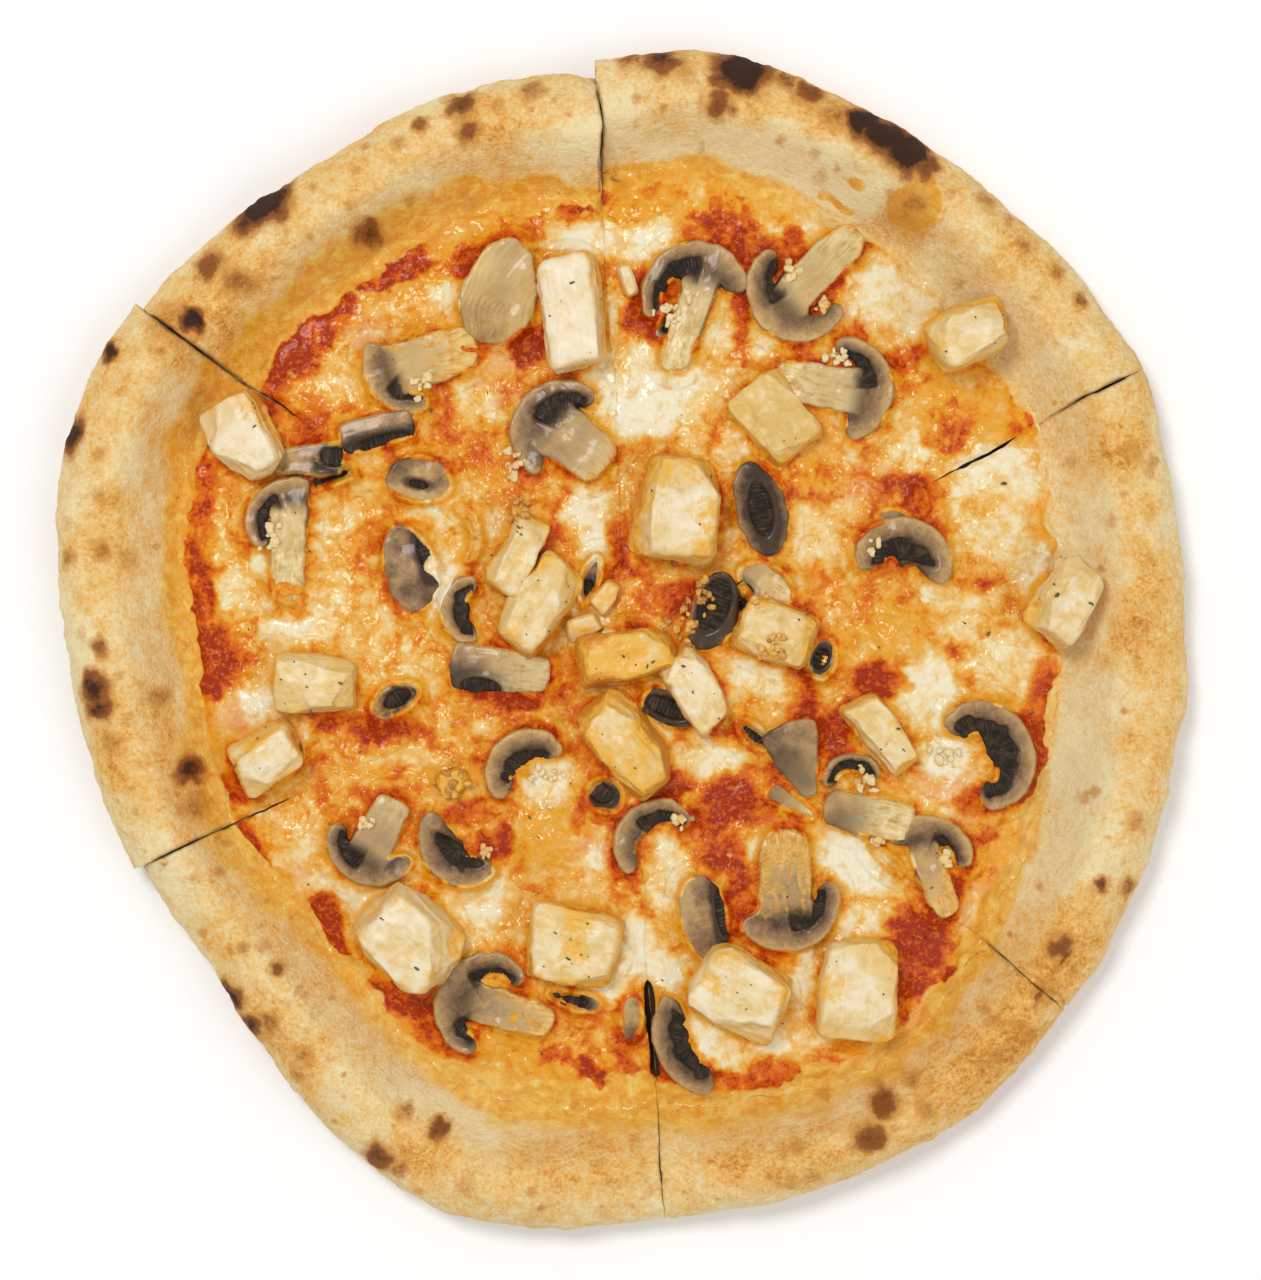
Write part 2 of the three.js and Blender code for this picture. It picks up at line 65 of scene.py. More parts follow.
# name, the two cuts in degrees from +X, outer radii, rim widths
SLICES = (
    ("far_right", 28.2, 93.0, (157, 157, 156, 157.5, 159, 161, 158), (33, 30, 33)),
    ("far_left", 93.0, 145.4, (153, 155.5, 156, 154, 154.5, 157, 159), (34, 31, 35)),
    ("left", 145.4, 204.3, (162, 161.5, 158.5, 154, 149.5, 148, 146), (33, 35, 30)),
    ("near_left", 204.3, 273.7, (143, 142, 146, 154, 160, 159, 155), (26, 34, 33)),
    ("near_right", 273.7, 320.0, (155, 155, 155, 156, 157, 155.5, 154), (31, 26, 30)),
    ("right", 320.0, 388.2, (154, 152.5, 151, 151, 151, 152.5, 157), (31, 35, 33)),
)

# How far each cut is open: from this distance from the centre outwards, this wide in the cheese and in the
# rim. The cheese has closed over the rest. The order is that of the cuts that the slices begin with.
CUTS = (
    {"open_from": 101, "cheese": 1.1, "rim": 1.1},
    {"open_from": 120, "cheese": 0.8, "rim": 0.7},
    {"open_from": 108, "cheese": 0.9, "rim": 0.85},
    {"open_from": 100, "cheese": 0.6, "rim": 0.6},
    {"open_from": 91, "open_to": 117, "cheese": 2.7, "rim": 0.35},
    {"open_from": 124, "cheese": 0.4, "rim": 0.45},
)

# ---- Noise ----


def hashed(ix, iy, iz, seed):
    """A number from -1 to 1 for each lattice point."""
    with np.errstate(over="ignore"):
        h = ix.astype(np.uint32) * np.uint32(374761393)
        h += iy.astype(np.uint32) * np.uint32(668265263)
        h += iz.astype(np.uint32) * np.uint32(2246822519)
        h += np.uint32((seed * 3266489917) & 0xFFFFFFFF)
        h = (h ^ (h >> np.uint32(15))) * np.uint32(2246822519)
        h = (h ^ (h >> np.uint32(13))) * np.uint32(3266489917)
        h ^= h >> np.uint32(16)
    return h.astype(np.float64) / 2147483648.0 - 1.0


def noise(x, y, z=None, seed=0):
    """Smooth noise from -1 to 1 whose lattice is 1 apart, in the plane or in space."""
    x0, y0 = np.floor(x), np.floor(y)
    fx, fy = x - x0, y - y0
    fx = fx * fx * fx * (fx * (fx * 6 - 15) + 10)
    fy = fy * fy * fy * (fy * (fy * 6 - 15) + 10)
    ix, iy = x0.astype(np.int64), y0.astype(np.int64)
    if z is None:
        layers = [(np.zeros_like(ix), 1.0)]
    else:
        z0 = np.floor(z)
        fz = z - z0
        fz = fz * fz * fz * (fz * (fz * 6 - 15) + 10)
        iz = z0.astype(np.int64)
        layers = [(iz, 1 - fz), (iz + 1, fz)]
    total = 0.0
    for layer, share in layers:
        low = hashed(ix, iy, layer, seed) * (1 - fx) + hashed(ix + 1, iy, layer, seed) * fx
        high = hashed(ix, iy + 1, layer, seed) * (1 - fx) + hashed(ix + 1, iy + 1, layer, seed) * fx
        total = total + share * (low * (1 - fy) + high * fy)
    return total


def fbm(x, y, z=None, octaves=4, gain=0.5, seed=0):
    """Noise of several sizes, each half the last and turned, from about -1 to 1."""
    total, weight, weights = 0.0, 1.0, 0.0
    for k in range(octaves):
        total = total + weight * noise(x, y, z, seed + 17 * k)
        weights += weight
        weight *= gain
        x, y = 1.62 * x - 1.17 * y + 5.3, 1.17 * x + 1.62 * y - 2.9
        z = None if z is None else 2 * z + 1.7
    return total / weights


def smooth(t):
    t = np.clip(t, 0, 1)
    return t * t * (3 - 2 * t)


def ramp(value, low, high):
    return smooth((value - low) / (high - low))


# ---- The dough and the cheese as functions of place ----


def along(values, t):
    """The value at share t of a list of evenly spaced values, on a smooth curve through them."""
    values = np.asarray(values, float)
    place = t * (len(values) - 1)
    i = np.clip(np.floor(place).astype(int), 0, len(values) - 2)
    f = place - i

    def at(k):
        return values[np.clip(k, 0, len(values) - 1)]

    slope_in, slope_out = (at(i + 1) - at(i - 1)) / 2, (at(i + 2) - at(i)) / 2
    from_here = at(i) * (1 + 2 * f) + slope_in * f
    to_next = at(i + 1) * (3 - 2 * f) - slope_out * (1 - f)
    return from_here * (1 - f) ** 2 + to_next * f**2


def degrees_at(x, y):
    return np.degrees(np.arctan2(y - CENTRE_Y, x - CENTRE_X)) % 360


def place_in(slice_row, x, y):
    """A point's share of the slice's arc, how far in it is from the outer edge, and the rim's width there."""
    _, first, second, radii, widths = slice_row
    past = (degrees_at(x, y) - first) % 360
    past = np.where(past > 180 + (second - first) / 2, past - 360, past)
    share = np.clip(past / (second - first), 0, 1)
    inward = along(radii, share) - np.hypot(x - CENTRE_X, y - CENTRE_Y)
    return share, inward, along(widths, share)


def slice_at(x, y):
    """The number of the slice that each point lies on."""
    past = (degrees_at(x, y) - SLICES[0][1]) % 360
    return np.searchsorted([row[2] - SLICES[0][1] for row in SLICES], past, side="right").clip(0, 5)


def rim_swell(x, y):
    return 1.7 * np.sin(x / 14 + 0.6) * np.cos(y / 16 - 0.4) + 1.1 * np.sin((x - y) / 10 + 2.1)


def dough_top(inward, width, x, y):
    crown = RIM_HEIGHT + rim_swell(x, y)
    crown_at = CROWN_SHARE * width
    across = np.clip(1 - inward / crown_at, 0, 1)
    outer = crown * (WIDEST_SHARE + (1 - WIDEST_SHARE) * np.sqrt(1 - across**2))
    down = smooth((inward - crown_at) / (width - crown_at))
    inner = DOUGH_THICKNESS + (crown - DOUGH_THICKNESS) * (1 - down)
    return np.where(inward <= crown_at, outer, inner)


# The rows of spots, patches and cracks here and below are placed one by one, after the photo's main ones.
# Blisters and scorched spots of the rim: x, y, radius, how dark, how high.
SPOTS = (
    (34, 154, 8, 1.2, 0.3), (28, 152, 5, 0.9, 0.3), (26, 143, 4.2, 0.8, 0.6), (16, 153, 4.5, 0.42, 0.4),
    (10, 158, 6, 0.9, 0.1), (2, 158.5, 4, 0.6, 0.1), (50, 148, 4.5, 0.8, 0.4), (57, 140, 4.5, 0.5, 0.5),
    (45, 151, 4, 0.6, 0.2), (66, 140, 6.5, 1.2, 0.3), (72, 136, 7.5, 1.2, 0.4), (77, 131, 7, 1.2, 0.3),
    (81, 127, 4.5, 0.8, 0.2), (-43, 144, 4.6, 0.85, 0.6), (-41, 136, 3.4, 0.68, 0.5),
    (-54, 138, 2.6, 0.6, 0.3), (-24, 148, 3.8, 0.5, 0.3), (-60, 133, 2.6, 0.4, 0.3),
    (-33, 143, 2.2, 0.35, 0.3), (-41, 118, 3.2, 0.6, 0.4), (-68, 109, 4, 0.85, 0.8),
    (-97, 118, 7.5, 1.25, 0.2), (-101, 113, 5, 0.9, 0.2), (-111, 100, 4.6, 0.72, 0.6),
    (-102, 96, 4.8, 0.55, 0.5), (-115, 85, 3.6, 1.15, 0.8), (-121, 85, 7, 0.4, 0.2),
    (-139, 78, 3.4, 1.0, 0.2), (-150, 56, 5.5, 1.0, 0.1), (-139, 24, 3.2, 0.5, 0.3),
    (-133, 22, 2.6, 0.38, 0.3), (-149, 22, 2.8, 0.5, 0.2), (-139, -2, 2.9, 0.6, 0.4),
    (-141, -13, 4.6, 1.0, 0.5), (-140, -18, 4, 0.9, 0.3), (-136, -27, 3.2, 0.42, 0.3),
    (-116, -35, 3.8, 1.0, 0.6), (-124, -15, 3.4, 0.48, 0.3), (-115, -45, 3.8, 0.46, 0.4),
    (-101, -82, 1.8, 0.5, 0.3), (-92, -88, 2.4, 0.72, 0.4), (-95, -103, 3.5, 0.55, 0.4),
    (-85, -111, 3.2, 0.45, 0.3), (-88, -117, 2.8, 0.4, 0.2), (-107, -98, 5, 1.1, 0.1),
    (-101, -105, 4.5, 0.9, 0.1), (-58, -126, 2.7, 0.5, 0.3), (-49, -131, 3.4, 0.78, 0.4),
    (-66, -139, 4.4, 0.85, 0.3), (-60, -142, 3.2, 0.5, 0.2), (-13, -126, 2.2, 0.7, 0.3),
    (-42, -146, 3.4, 0.3, 0.2), (70, -124, 4.4, 0.72, 0.5), (81, -125, 3.6, 0.45, 0.3),
    (66, -133, 4.8, 0.78, 0.5), (78, -118, 2.8, 0.45, 0.3), (117, -82, 3.8, 0.78, 0.5),
    (113, -94, 4.4, 0.4, 0.3), (110, -106, 2.4, 0.42, 0.2), (100, -111, 2.4, 0.4, 0.2),
    (128, -65, 2.2, 0.85, 0.3), (137, -67, 3, 0.6, 0.2), (138, -49, 3.2, 0.45, 0.2),
    (143, 48, 2.6, 0.36, 0.2), (136, 50, 4, 0.33, 0.2), (123, 91, 2.7, 0.6, 0.4),
    (108, 106, 2.8, 0.5, 0.3), (98, 118, 3.4, 0.5, 0.3), (117, 99, 2.6, 0.5, 0.1),
    (76, 114, 8.5, 0.36, 1.0), (78, 117, 4.5, 0.48, 0.3), (112, 3, 2.2, 0.3, 0.2),
)
# Parts of the dough: x, y, half length, half width, turn in degrees, strength.
TOASTED = (
    (-105, 97, 22, 10, 45, 0.62), (-85, 117, 18, 9, 38, 0.5), (-55, 133, 22, 8, 24, 0.55),
    (-30, 140, 18, 7, 12, 0.5), (-112, 82, 10, 8, 40, 0.6), (38, 145, 32, 9, -10, 0.55),
    (75, 128, 16, 10, -42, 0.6), (112, 95, 20, 9, -50, 0.5), (132, 68, 16, 9, -60, 0.42),
    (136, 50, 10, 9, 0, 0.45), (141, 8, 26, 8, 88, 0.45), (138, -32, 22, 9, 78, 0.42),
    (120, -82, 16, 10, 60, 0.6), (96, -113, 24, 11, 38, 0.75), (62, -134, 24, 9, 18, 0.65),
    (25, -142, 18, 8, 5, 0.45), (-15, -140, 24, 8, 0, 0.4), (-40, -146, 14, 6, -15, 0.42),
    (-90, -107, 12, 9, -50, 0.42), (-60, -130, 14, 8, -35, 0.35), (-143, 60, 18, 8, 80, 0.45),
    (-140, 22, 14, 9, 90, 0.45), (-128, 70, 12, 9, 60, 0.5), (-138, -15, 18, 8, 95, 0.45),
    (-118, -38, 14, 8, 110, 0.5), (113, -92, 9, 9, 0, 0.6), (-108, 84, 12, 9, 40, 0.5),
    (-105, -75, 12, 7, 120, 0.3), (6, 150, 14, 5, 0, 0.35), (76, 115, 9, 8, 0, 0.85),
)
PALE = (
    (-38, -127, 26, 9, -15, 1.0), (-72, -124, 14, 8, -42, 0.7), (145, 42, 7, 16, 0, 0.9),
    (45, 128, 32, 9, -15, 0.9), (0, 135, 14, 8, 0, 0.8), (90, 98, 10, 14, 40, 0.6),
    (-147, 0, 6, 20, 0, 0.8), (-150, 38, 6, 14, 0, 0.6), (126, -35, 8, 26, 0, 1.0),
    (128, 20, 8, 22, 0, 0.9), (112, -62, 9, 14, -30, 0.8), (-122, -62, 8, 12, 20, 0.7),
    (-60, 148, 26, 4, 24, 0.8), (-96, 106, 9, 3, 45, 0.5), (-4, -128, 18, 5, 5, 0.6),
    (120, 70, 10, 8, -60, 0.7),
)
SPECKLES = 260  # smaller scorched spots, strewn over the rim
SPOT_REACH = 2.6  # how far a spot is felt, in its radii
PATCH_REACH = 1.9  # how far a patch is felt, in its longer half size
CREASE_REACH = 10  # how far from its middle a crack is felt
# Cracks in the dough's skin: from x, y to x, y, and how deep.
CREASES = (
    (113, -92, 121, -82, 0.6), (113, -92, 108, -101, 0.5), (113, -92, 122, -101, 0.6),
    (104, -86, 113, -92, 0.5), (7.5, 144, 11.5, 132, 0.35), (3, -140, 11, -150, 0.4),
    (-3, -150, 5, -141, 0.4), (5, -151, 15, -144, 0.4), (122, 53, 131, 58, 0.35),
    (-44, 150, -30, 145, 0.3), (-120, 92, -108, 82, 0.5), (-127, -64, -117, -55, 0.4),
)


def strewn_spots():
    """Small spots all round the rim: x, y, radius, how dark."""
    random = np.random.default_rng(7)
    angle = random.uniform(0, 360, SPECKLES)
    x, y = np.cos(np.radians(angle)), np.sin(np.radians(angle))
    number = slice_at(CENTRE_X + x, CENTRE_Y + y)
    spots = []
    for k in range(SPECKLES):
        at = np.array(CENTRE_X + x[k]), np.array(CENTRE_Y + y[k])
        _, inward, width = place_in(SLICES[number[k]], *at)
        reach = inward + 1 - width * random.beta(1.6, 2.2)
        size = random.uniform(0.7, 2.4)
        spots.append((CENTRE_X + x[k] * reach, CENTRE_Y + y[k] * reach, size, random.uniform(0.1, 0.42)))
    return spots


def spotted(x, y, spots):
    """How deep a point is in the spots, and their height there: 0 outside, up to each one's own strength."""
    dark, high = np.zeros_like(x), np.zeros_like(x)
    for spot in spots:
        sx, sy, radius, strength = spot[:4]
        near = (np.abs(x - sx) < SPOT_REACH * radius) & (np.abs(y - sy) < SPOT_REACH * radius)
        if not near.any():
            continue
        px, py = x[near], y[near]
        wander = noise(px / (0.6 * radius) + sx, py / (0.6 * radius) + sy, seed=5)
        away = np.hypot(px - sx, py - sy) / radius + 0.28 * wander
        dark[near] = np.maximum(dark[near], strength * smooth((1.75 - away) / 1.6) * 1.12)
        if len(spot) > 4:
            high[near] += spot[4] * smooth(1.2 - away)
    return dark, high


def creased(x, y):
    """How deep a point is in the cracks, in millimetres."""
    deep = np.zeros_like(x)
    for x0, y0, x1, y1, depth in CREASES:
        off_x, off_y = np.abs(x - (x0 + x1) / 2), np.abs(y - (y0 + y1) / 2)
        near = (off_x < CREASE_REACH) & (off_y < CREASE_REACH)
        px = x[near] + 0.7 * noise(x[near] / 2.5, y[near] / 2.5, seed=8)
        py = y[near] + 0.7 * noise(x[near] / 2.5, y[near] / 2.5, seed=9)
        ex, ey = x1 - x0, y1 - y0
        t = ((px - x0) * ex + (py - y0) * ey) / (ex * ex + ey * ey)
        away = np.hypot(px - x0 - np.clip(t, 0, 1) * ex, py - y0 - np.clip(t, 0, 1) * ey)
        here = depth * smooth(1.2 - away / 0.8) * ramp(np.abs(t - 0.5), 0.5, 0.2)
        deep[near] = np.maximum(deep[near], here)
    return deep


def dough_relief(x, y, drop):
    """How far the dough stands out of its plain form, at a depth of drop below the crown on the outside."""
    lumps = 1.1 * fbm(x / 15, y / 15, drop / 12, octaves=2, seed=11)
    bumps = 0.7 * fbm(x / 4.6, y / 4.6, drop / 4.6, octaves=3, gain=0.55, seed=12)
    wrinkles = 0.3 * (0.5 - np.abs(fbm(x / 3.1, y / 3.1, drop / 3.1, octaves=2, seed=13)))
    return lumps + bumps + wrinkles


def blotched(x, y, patches):
    """How deep a point is in the patches: 1 in the middle of one of strength 1."""
    total = np.zeros_like(x)
    for px, py, long, wide, turn, strength in patches:
        reach = PATCH_REACH * max(long, wide)
        near = (np.abs(x - px) < reach) & (np.abs(y - py) < reach)
        dx, dy = x[near] - px, y[near] - py
        c, s = math.cos(math.radians(turn)), math.sin(math.radians(turn))
        away = np.hypot((dx * c + dy * s) / long, (dy * c - dx * s) / wide)
        total[near] = np.maximum(total[near], strength * smooth(1.55 - away))
    return total


# How far oil has crept up the rim, and how much of it, by the angle from +X.
OIL_ANGLES = (0, 30, 60, 80, 95, 120, 140, 165, 200, 235, 265, 290, 320, 345, 360)
OIL_REACH = (3, 3, 3, 6, 8, 17, 14, 9, 11, 9, 12, 10, 8, 4, 3)
OIL_DEPTH = (0.4, 0.3, 0.35, 0.9, 1, 1, 1, 0.85, 0.7, 0.6, 0.75, 0.65, 0.8, 0.5, 0.4)
# How far the topping leaves the oily dough bare beside the rim, by the same angles.
FILM_REACH = (3, 3, 5, 8, 8, 19, 15, 3.5, 3, 8, 13, 10, 8, 5, 3)
# Oily blisters of the rim, as patches
SCALDED = ((76, 115, 6.5, 6.5, 0, 1.15), (62, 126, 2, 2, 0, 0.7), (58, 119, 2.4, 1.6, 0, 0.6))


def dough_marks(x, y, inward, width, drop):
    """How toasted and how oily the dough is."""
    wx, wy = x + 4 * noise(x / 9, y / 9, seed=24), y + 4 * noise(x / 9, y / 9, seed=25)
    toast = 0.30 + 0.30 * fbm(x / 17, y / 17, drop / 12, octaves=3, seed=21)
    toast = toast + 0.42 * blotched(wx, wy, TOASTED) - 0.34 * blotched(wx, wy, PALE)
    toast = toast - 0.12 * ramp(inward, 4, 0) + 0.12 * ramp(drop, 7, 12)
    angle = degrees_at(x, y)
    reach = np.interp(angle, OIL_ANGLES, OIL_REACH) * (1 + 0.5 * fbm(x / 11, y / 11, octaves=3, seed=22))
    oil = ramp(inward, width - reach, width - 0.4 * reach) * np.interp(angle, OIL_ANGLES, OIL_DEPTH)
    return toast, np.maximum(oil, ramp(blotched(wx, wy, SCALDED), 0.25, 0.8))


# ---- Patches of the topping: x, y, half length, half width, turn in degrees, strength ----

WHITE = (
    (-9, 109, 11, 5, -10, 1.1), (-46, 92, 5, 4, 20, 0.9), (-63, 92, 5, 3, 20, 0.5),
    (-86, 66, 8, 4, -30, 0.6), (-40, 66, 6, 8, 0, 0.5), (-5, 68, 6, 9, 0, 0.9), (-9, 37, 6, 7, 0, 1.4),
    (-7, 25, 5, 7, 0, 1.4), (-49, 17, 6, 11, 15, 1.2), (-48, 36, 6, 4, 0, 0.7),
    (-102, 12, 8, 4, -30, 0.8), (-97, 20, 4, 6, 0, 0.6), (-85, 3, 8, 3, 0, 0.9), (-66, 4, 4, 4, 0, 0.6),
    (7, 106, 9, 6, 30, 1.1), (51, 114, 7, 4, -20, 1), (10, 66, 13, 10, 0, 1.4), (28, 84, 6, 7, 0, 0.7),
    (38, 83, 5, 7, 0, 0.7), (75, 93, 14, 10, -20, 1.2), (84, 84, 5, 6, 0, 0.5), (72, 81, 9, 3, -10, 0.8),
    (101, 44, 10, 9, 0, 1), (102, 29, 12, 8, 0, 0.7), (90, 13, 9, 5, 0, 1), (110, 45, 6, 8, 0, 0.8),
    (58, 33, 6, 5, 0, 0.4), (75, 50, 8, 5, 0, 0.5), (84, -14, 8, 10, 15, 1.3), (102, -7, 9, 8, 0, 0.8),
    (88, -31, 5, 6, 0, 1.3), (85, -38, 8, 5, 0, 0.7), (59, -57, 7, 10, 35, 1.4),
    (66, -64, 9, 6, -30, 1.3), (62, -77, 12, 5, 10, 1), (37, -11, 9, 4, -15, 1.1),
    (40, -22, 6, 4, -10, 0.8), (27, -33, 9, 6, -10, 1), (13, -63, 6, 11, 0, 1.1), (4, -82, 6, 8, 0, 0.9),
    (9, -88, 12, 5, -10, 1.2), (25, -108, 9, 5, -30, 1.2), (52, -107, 13, 4, 5, 0.9),
    (97, -74, 7, 7, 0, 0.9), (90, -84, 5, 4, -30, 0.8), (28, -55, 4, 4, 0, 0.6), (37, -53, 5, 4, 0, 0.9),
    (49, -92, 3, 9, 0, 0.9), (-98, -16, 5, 8, 0, 1.3), (-105, -20, 5, 6, 0, 0.5),
    (-70, -36, 8, 4, 10, 0.5), (-55, -34, 6, 4, 0, 0.6), (-20, -38, 7, 7, 20, 1.2),
    (-5, -11, 5, 3, -15, 1), (-87, -60, 8, 9, 0, 0.7), (-70, -71, 7, 6, 10, 1.3),
    (-37, -69, 9, 8, 0, 0.9), (-6, -90, 7, 6, -10, 1.1), (-5, -56, 5, 6, 0, 0.7),
    (-13, -70, 7, 5, 0, 0.8), (30, 51, 4, 8, 0, 0.7), (58, 50, 9, 4, 0, 0.5), (-31, 73, 4, 4, 0, 0.6),
    (-33, 51, 4, 4, 0, 0.6), (-38, 29, 6, 6, 0, 1.0), (-53, 16, 4, 6, 0, 0.6), (-110, 26, 4, 6, 0, 0.9),
    (-70, -1, 5, 12, 0, 0.7), (-52, -10, 7, 5, 0, 0.8), (28, 16, 5, 5, 0, 1.0), (51, 28, 7, 7, 0, 0.9),
    (62, 0, 5, 5, 0, 0.6), (94, 22, 6, 5, 0, 1.0), (90, 4, 6, 4, 0, 1.0), (111, 20, 6, 9, 0, 0.9),
    (110, -7, 4, 8, 0, 0.7), (31, -16, 4, 5, 0, 0.8), (46, -15, 3, 5, 0, 0.7), (10, -24, 5, 4, 0, 0.6),
    (28, -38, 6, 3, 0, 0.8), (-15, -8, 5, 3, 0, 0.6), (-29, -32, 5, 3, 0, 0.6), (-88, -26, 4, 4, 0, 0.7),
    (-20, -51, 9, 4, 0, 0.6), (-48, -88, 5, 5, 0, 0.9), (12, -76, 3, 6, 0, 0.6), (88, -79, 4, 4, 0, 0.8),
    (48, -100, 3, 5, 0, 0.6), (60, -110, 7, 3, 0, 0.6), (89, -49, 6, 4, 0, 0.7), (-25, 101, 5, 4, 0, 0.6),
    (13, 104, 6, 5, 0, 0.7),
)
RED = (
    (-84, 83, 16, 5.5, 50, 1.05), (-66, 96, 8, 2.5, 20, 0.8), (-93, 67, 4, 8, 0, 0.8),
    (-34, 106, 8, 6, 40, 1.1), (-12, 117, 8, 3, 25, 1), (-20, 113, 10, 2.5, 20, 0.6),
    (-25, 79, 5, 5, 0, 1.5), (-114, 20, 5, 22, 2, 1), (-112, -2, 6, 8, 0, 1), (-113, 45, 3, 6, 10, 0.7),
    (-43, 77, 3, 2, 0, 1), (-1, 20, 4, 14, 0, 1.1), (-18, 28, 3, 8, 0, 0.7), (-38, 53, 8, 4, -30, 0.5),
    (-65, 30, 6, 4, 30, 0.45), (33, 108, 12, 6, -25, 1.4), (5, 87, 4, 7, 10, 1.4), (3, 98, 4, 5, 0, 0.9),
    (33, 90, 2.5, 14, -8, 1), (45, 110, 3, 3, 0, 1.1), (76, 77, 8, 2.5, -5, 0.7),
    (55, 94, 2.5, 6, -30, 1), (62, 82, 4, 4, 0, 0.8), (76, 41, 10, 4, -5, 1), (95, 18, 6, 4, -50, 1),
    (63, 5, 4, 6, -30, 0.4), (88, 55, 5, 5, 0, 0.8), (15, 12, 8, 4, 0, 1.2), (4, 12, 6, 8, 0, 0.9),
    (26, 18, 7, 3, -30, 0.4), (68, -11, 7, 5, -20, 1.6), (49, -16, 4, 10, 10, 1.1),
    (58, -24, 5, 8, -20, 1.3), (32, -44, 10, 6, -20, 1.4), (22, -50, 8, 4, 0, 1.1),
    (27, -57, 6, 5, 0, 1.3), (31, -66, 3.5, 8, 5, 1.4), (12, -38, 8, 4, 10, 0.9),
    (82, -80, 8, 9, -30, 1.8), (78, -90, 5, 9, -20, 1.4), (90, -90, 6, 2.5, 10, 1.2),
    (115, -12, 3, 7, 5, 0.9), (113, -25, 5, 7, 30, 1.1), (112, -38, 4, 6, -35, 1.1),
    (96, -52, 8, 4, -10, 0.9), (93, -58, 3, 6, 0, 1.1), (40, -116, 8, 3, 0, 0.9),
    (60, -110, 6, 4, 30, 0.6), (37, -121, 8, 2, 5, 1), (2, -110, 4, 5, 0, 0.9), (-110, -8, 6, 8, 0, 1),
    (-112, -15, 4, 3, 0, 1), (-104, -36, 5, 7, 0, 1), (-66, -25, 9, 4, 0, 1.1),
    (-78, -23, 6, 3, -10, 0.9), (-17, -10, 6, 6, 0, 0.9), (-30, -15, 9, 3, -5, 1.2),
    (-100, -59, 3.5, 11, 25, 1.5), (-80, -76, 6, 7, 30, 1.7), (-76, -85, 2.5, 7, 10, 1.2),
    (-58, -98, 8, 4, -15, 1.1), (-48, -104, 4, 5, -30, 1), (-34, -55, 4, 5, 0, 1.3),
    (-2, -55, 3, 8, 0, 0.9), (-8, -117, 5, 2.5, -10, 1.2), (-18, -112, 5, 3, -30, 0.9),
    (-60, -36, 8, 2, 0, 0.6), (-85, 58, 5, 9, 0, 0.8), (-14, 75, 5, 5, 0, 0.6), (-118, 0, 4, 20, 0, 1.1),
    (-100, -9, 5, 4, 0, 0.8), (-68, -97, 8, 4, -40, 0.9), (-50, -108, 9, 4, -20, 0.8),
    (41, -38, 8, 6, 0, 0.9), (77, -38, 7, 4, 0, 0.8), (116, -32, 4, 9, 20, 0.9), (88, -68, 5, 6, 0, 0.6),
    (10, -110, 4, 8, 0, 0.8), (35, -119, 11, 3, 0, 1.1), (-60, 100, 12, 4, 30, 0.9),
    (-97, 48, 5, 5, 0, 0.8), (-85, 48, 6, 6, 0, 0.6), (-39, -47, 5, 5, 0, 0.9), (48, -52, 8, 8, 0, 0.6),
    (10, -45, 6, 4, 0, 0.8), (97, -45, 6, 4, 0, 0.9), (120, -26, 4, 10, 15, 1.0), (-46, 77, 8, 5, 0, 0.4),
    (2, 12, 6, 6, 0, 0.7), (-20, 112, 8, 3, 20, 0.8), (-116, 6, 3, 12, 0, 0.6), (25, -52, 5, 4, 0, 0.5),
    (32, -65, 4, 6, 0, 0.6), (81, -89, 6, 5, 0, 0.6), (-94, 76, 8, 5, 60, 1.0),
    (-103, -56, 5, 10, 20, 0.9), (-38, 106, 8, 5, 30, 0.8),
)
AMBER = (
    (5, 118, 12, 4, 0, 1.2), (25, 116, 10, 4, 0, 1), (48, 117, 8, 3, 0, 0.9), (-70, 103, 20, 5, 35, 1.1),
    (-48, 107, 14, 8, 20, 1.2), (-121, 20, 4, 30, 0, 1), (93, 61, 14, 8, -10, 1.3),
    (112, 55, 6, 10, 0, 0.8), (115, 30, 4, 12, 0, 0.8), (100, -59, 7, 8, 0, 1.1),
    (-25, -110, 22, 6, -12, 1.2), (-10, -120, 14, 4, 0, 1), (50, 42, 5, 6, 0, 1), (-22, -52, 8, 8, 0, 1),
    (-46, -38, 6, 5, 0, 1), (74, 2, 11, 9, 0, 0.7),
)
PINK = (
    (-68, 84, 8, 6, 0, 1), (-33, 76, 8, 5, 0, 1), (-30, 66, 8, 6, 0, 1), (65, 88, 6, 4, 0, 1),
    (70, 42, 12, 6, 0, 1), (-85, -65, 8, 4, 0, 1), (88, -50, 8, 4, 0, 1), (-5, -56, 5, 6, 0, 1),
    (97, -74, 7, 7, 0, 1), (-105, -20, 5, 6, 0, 1), (85, -38, 8, 5, 0, 1),
)
# x, y, radius, height of lumps where the cheese has flowed over a piece of chicken
LUMPS = (
    (74.5, 1.4, 15, 3.4), (-20.5, -54, 14, 3.6), (49, 43, 9, 2.6), (0.6, -88, 8, 2.4), (-56, 42, 10, 1.2),
)
# Where cheese has run over the edge of a topping
COVERS = (
    (17, 71, 6, 3, 0, 1), (-44, 79, 6, 3, 0, 1), (-90, 11, 6, 3, 0, 1), (-50, 17, 3, 8, 10, 1.1),
    (-73, -77, 4, 7, 20, 1), (84, 76, 6, 4, -30, 1), (-100, 66, 5, 3, 30, 1), (66, -66, 4, 3, 0, 1),
    (-28, -105, 6, 3, -20, 1), (-60, -88, 5, 3, -50, 1), (27, 84, 3, 6, 10, 0.9),
    (69, 12, 7, 2.5, -5, 0.9), (-97, 42, 3, 5, 0, 0.9),
)
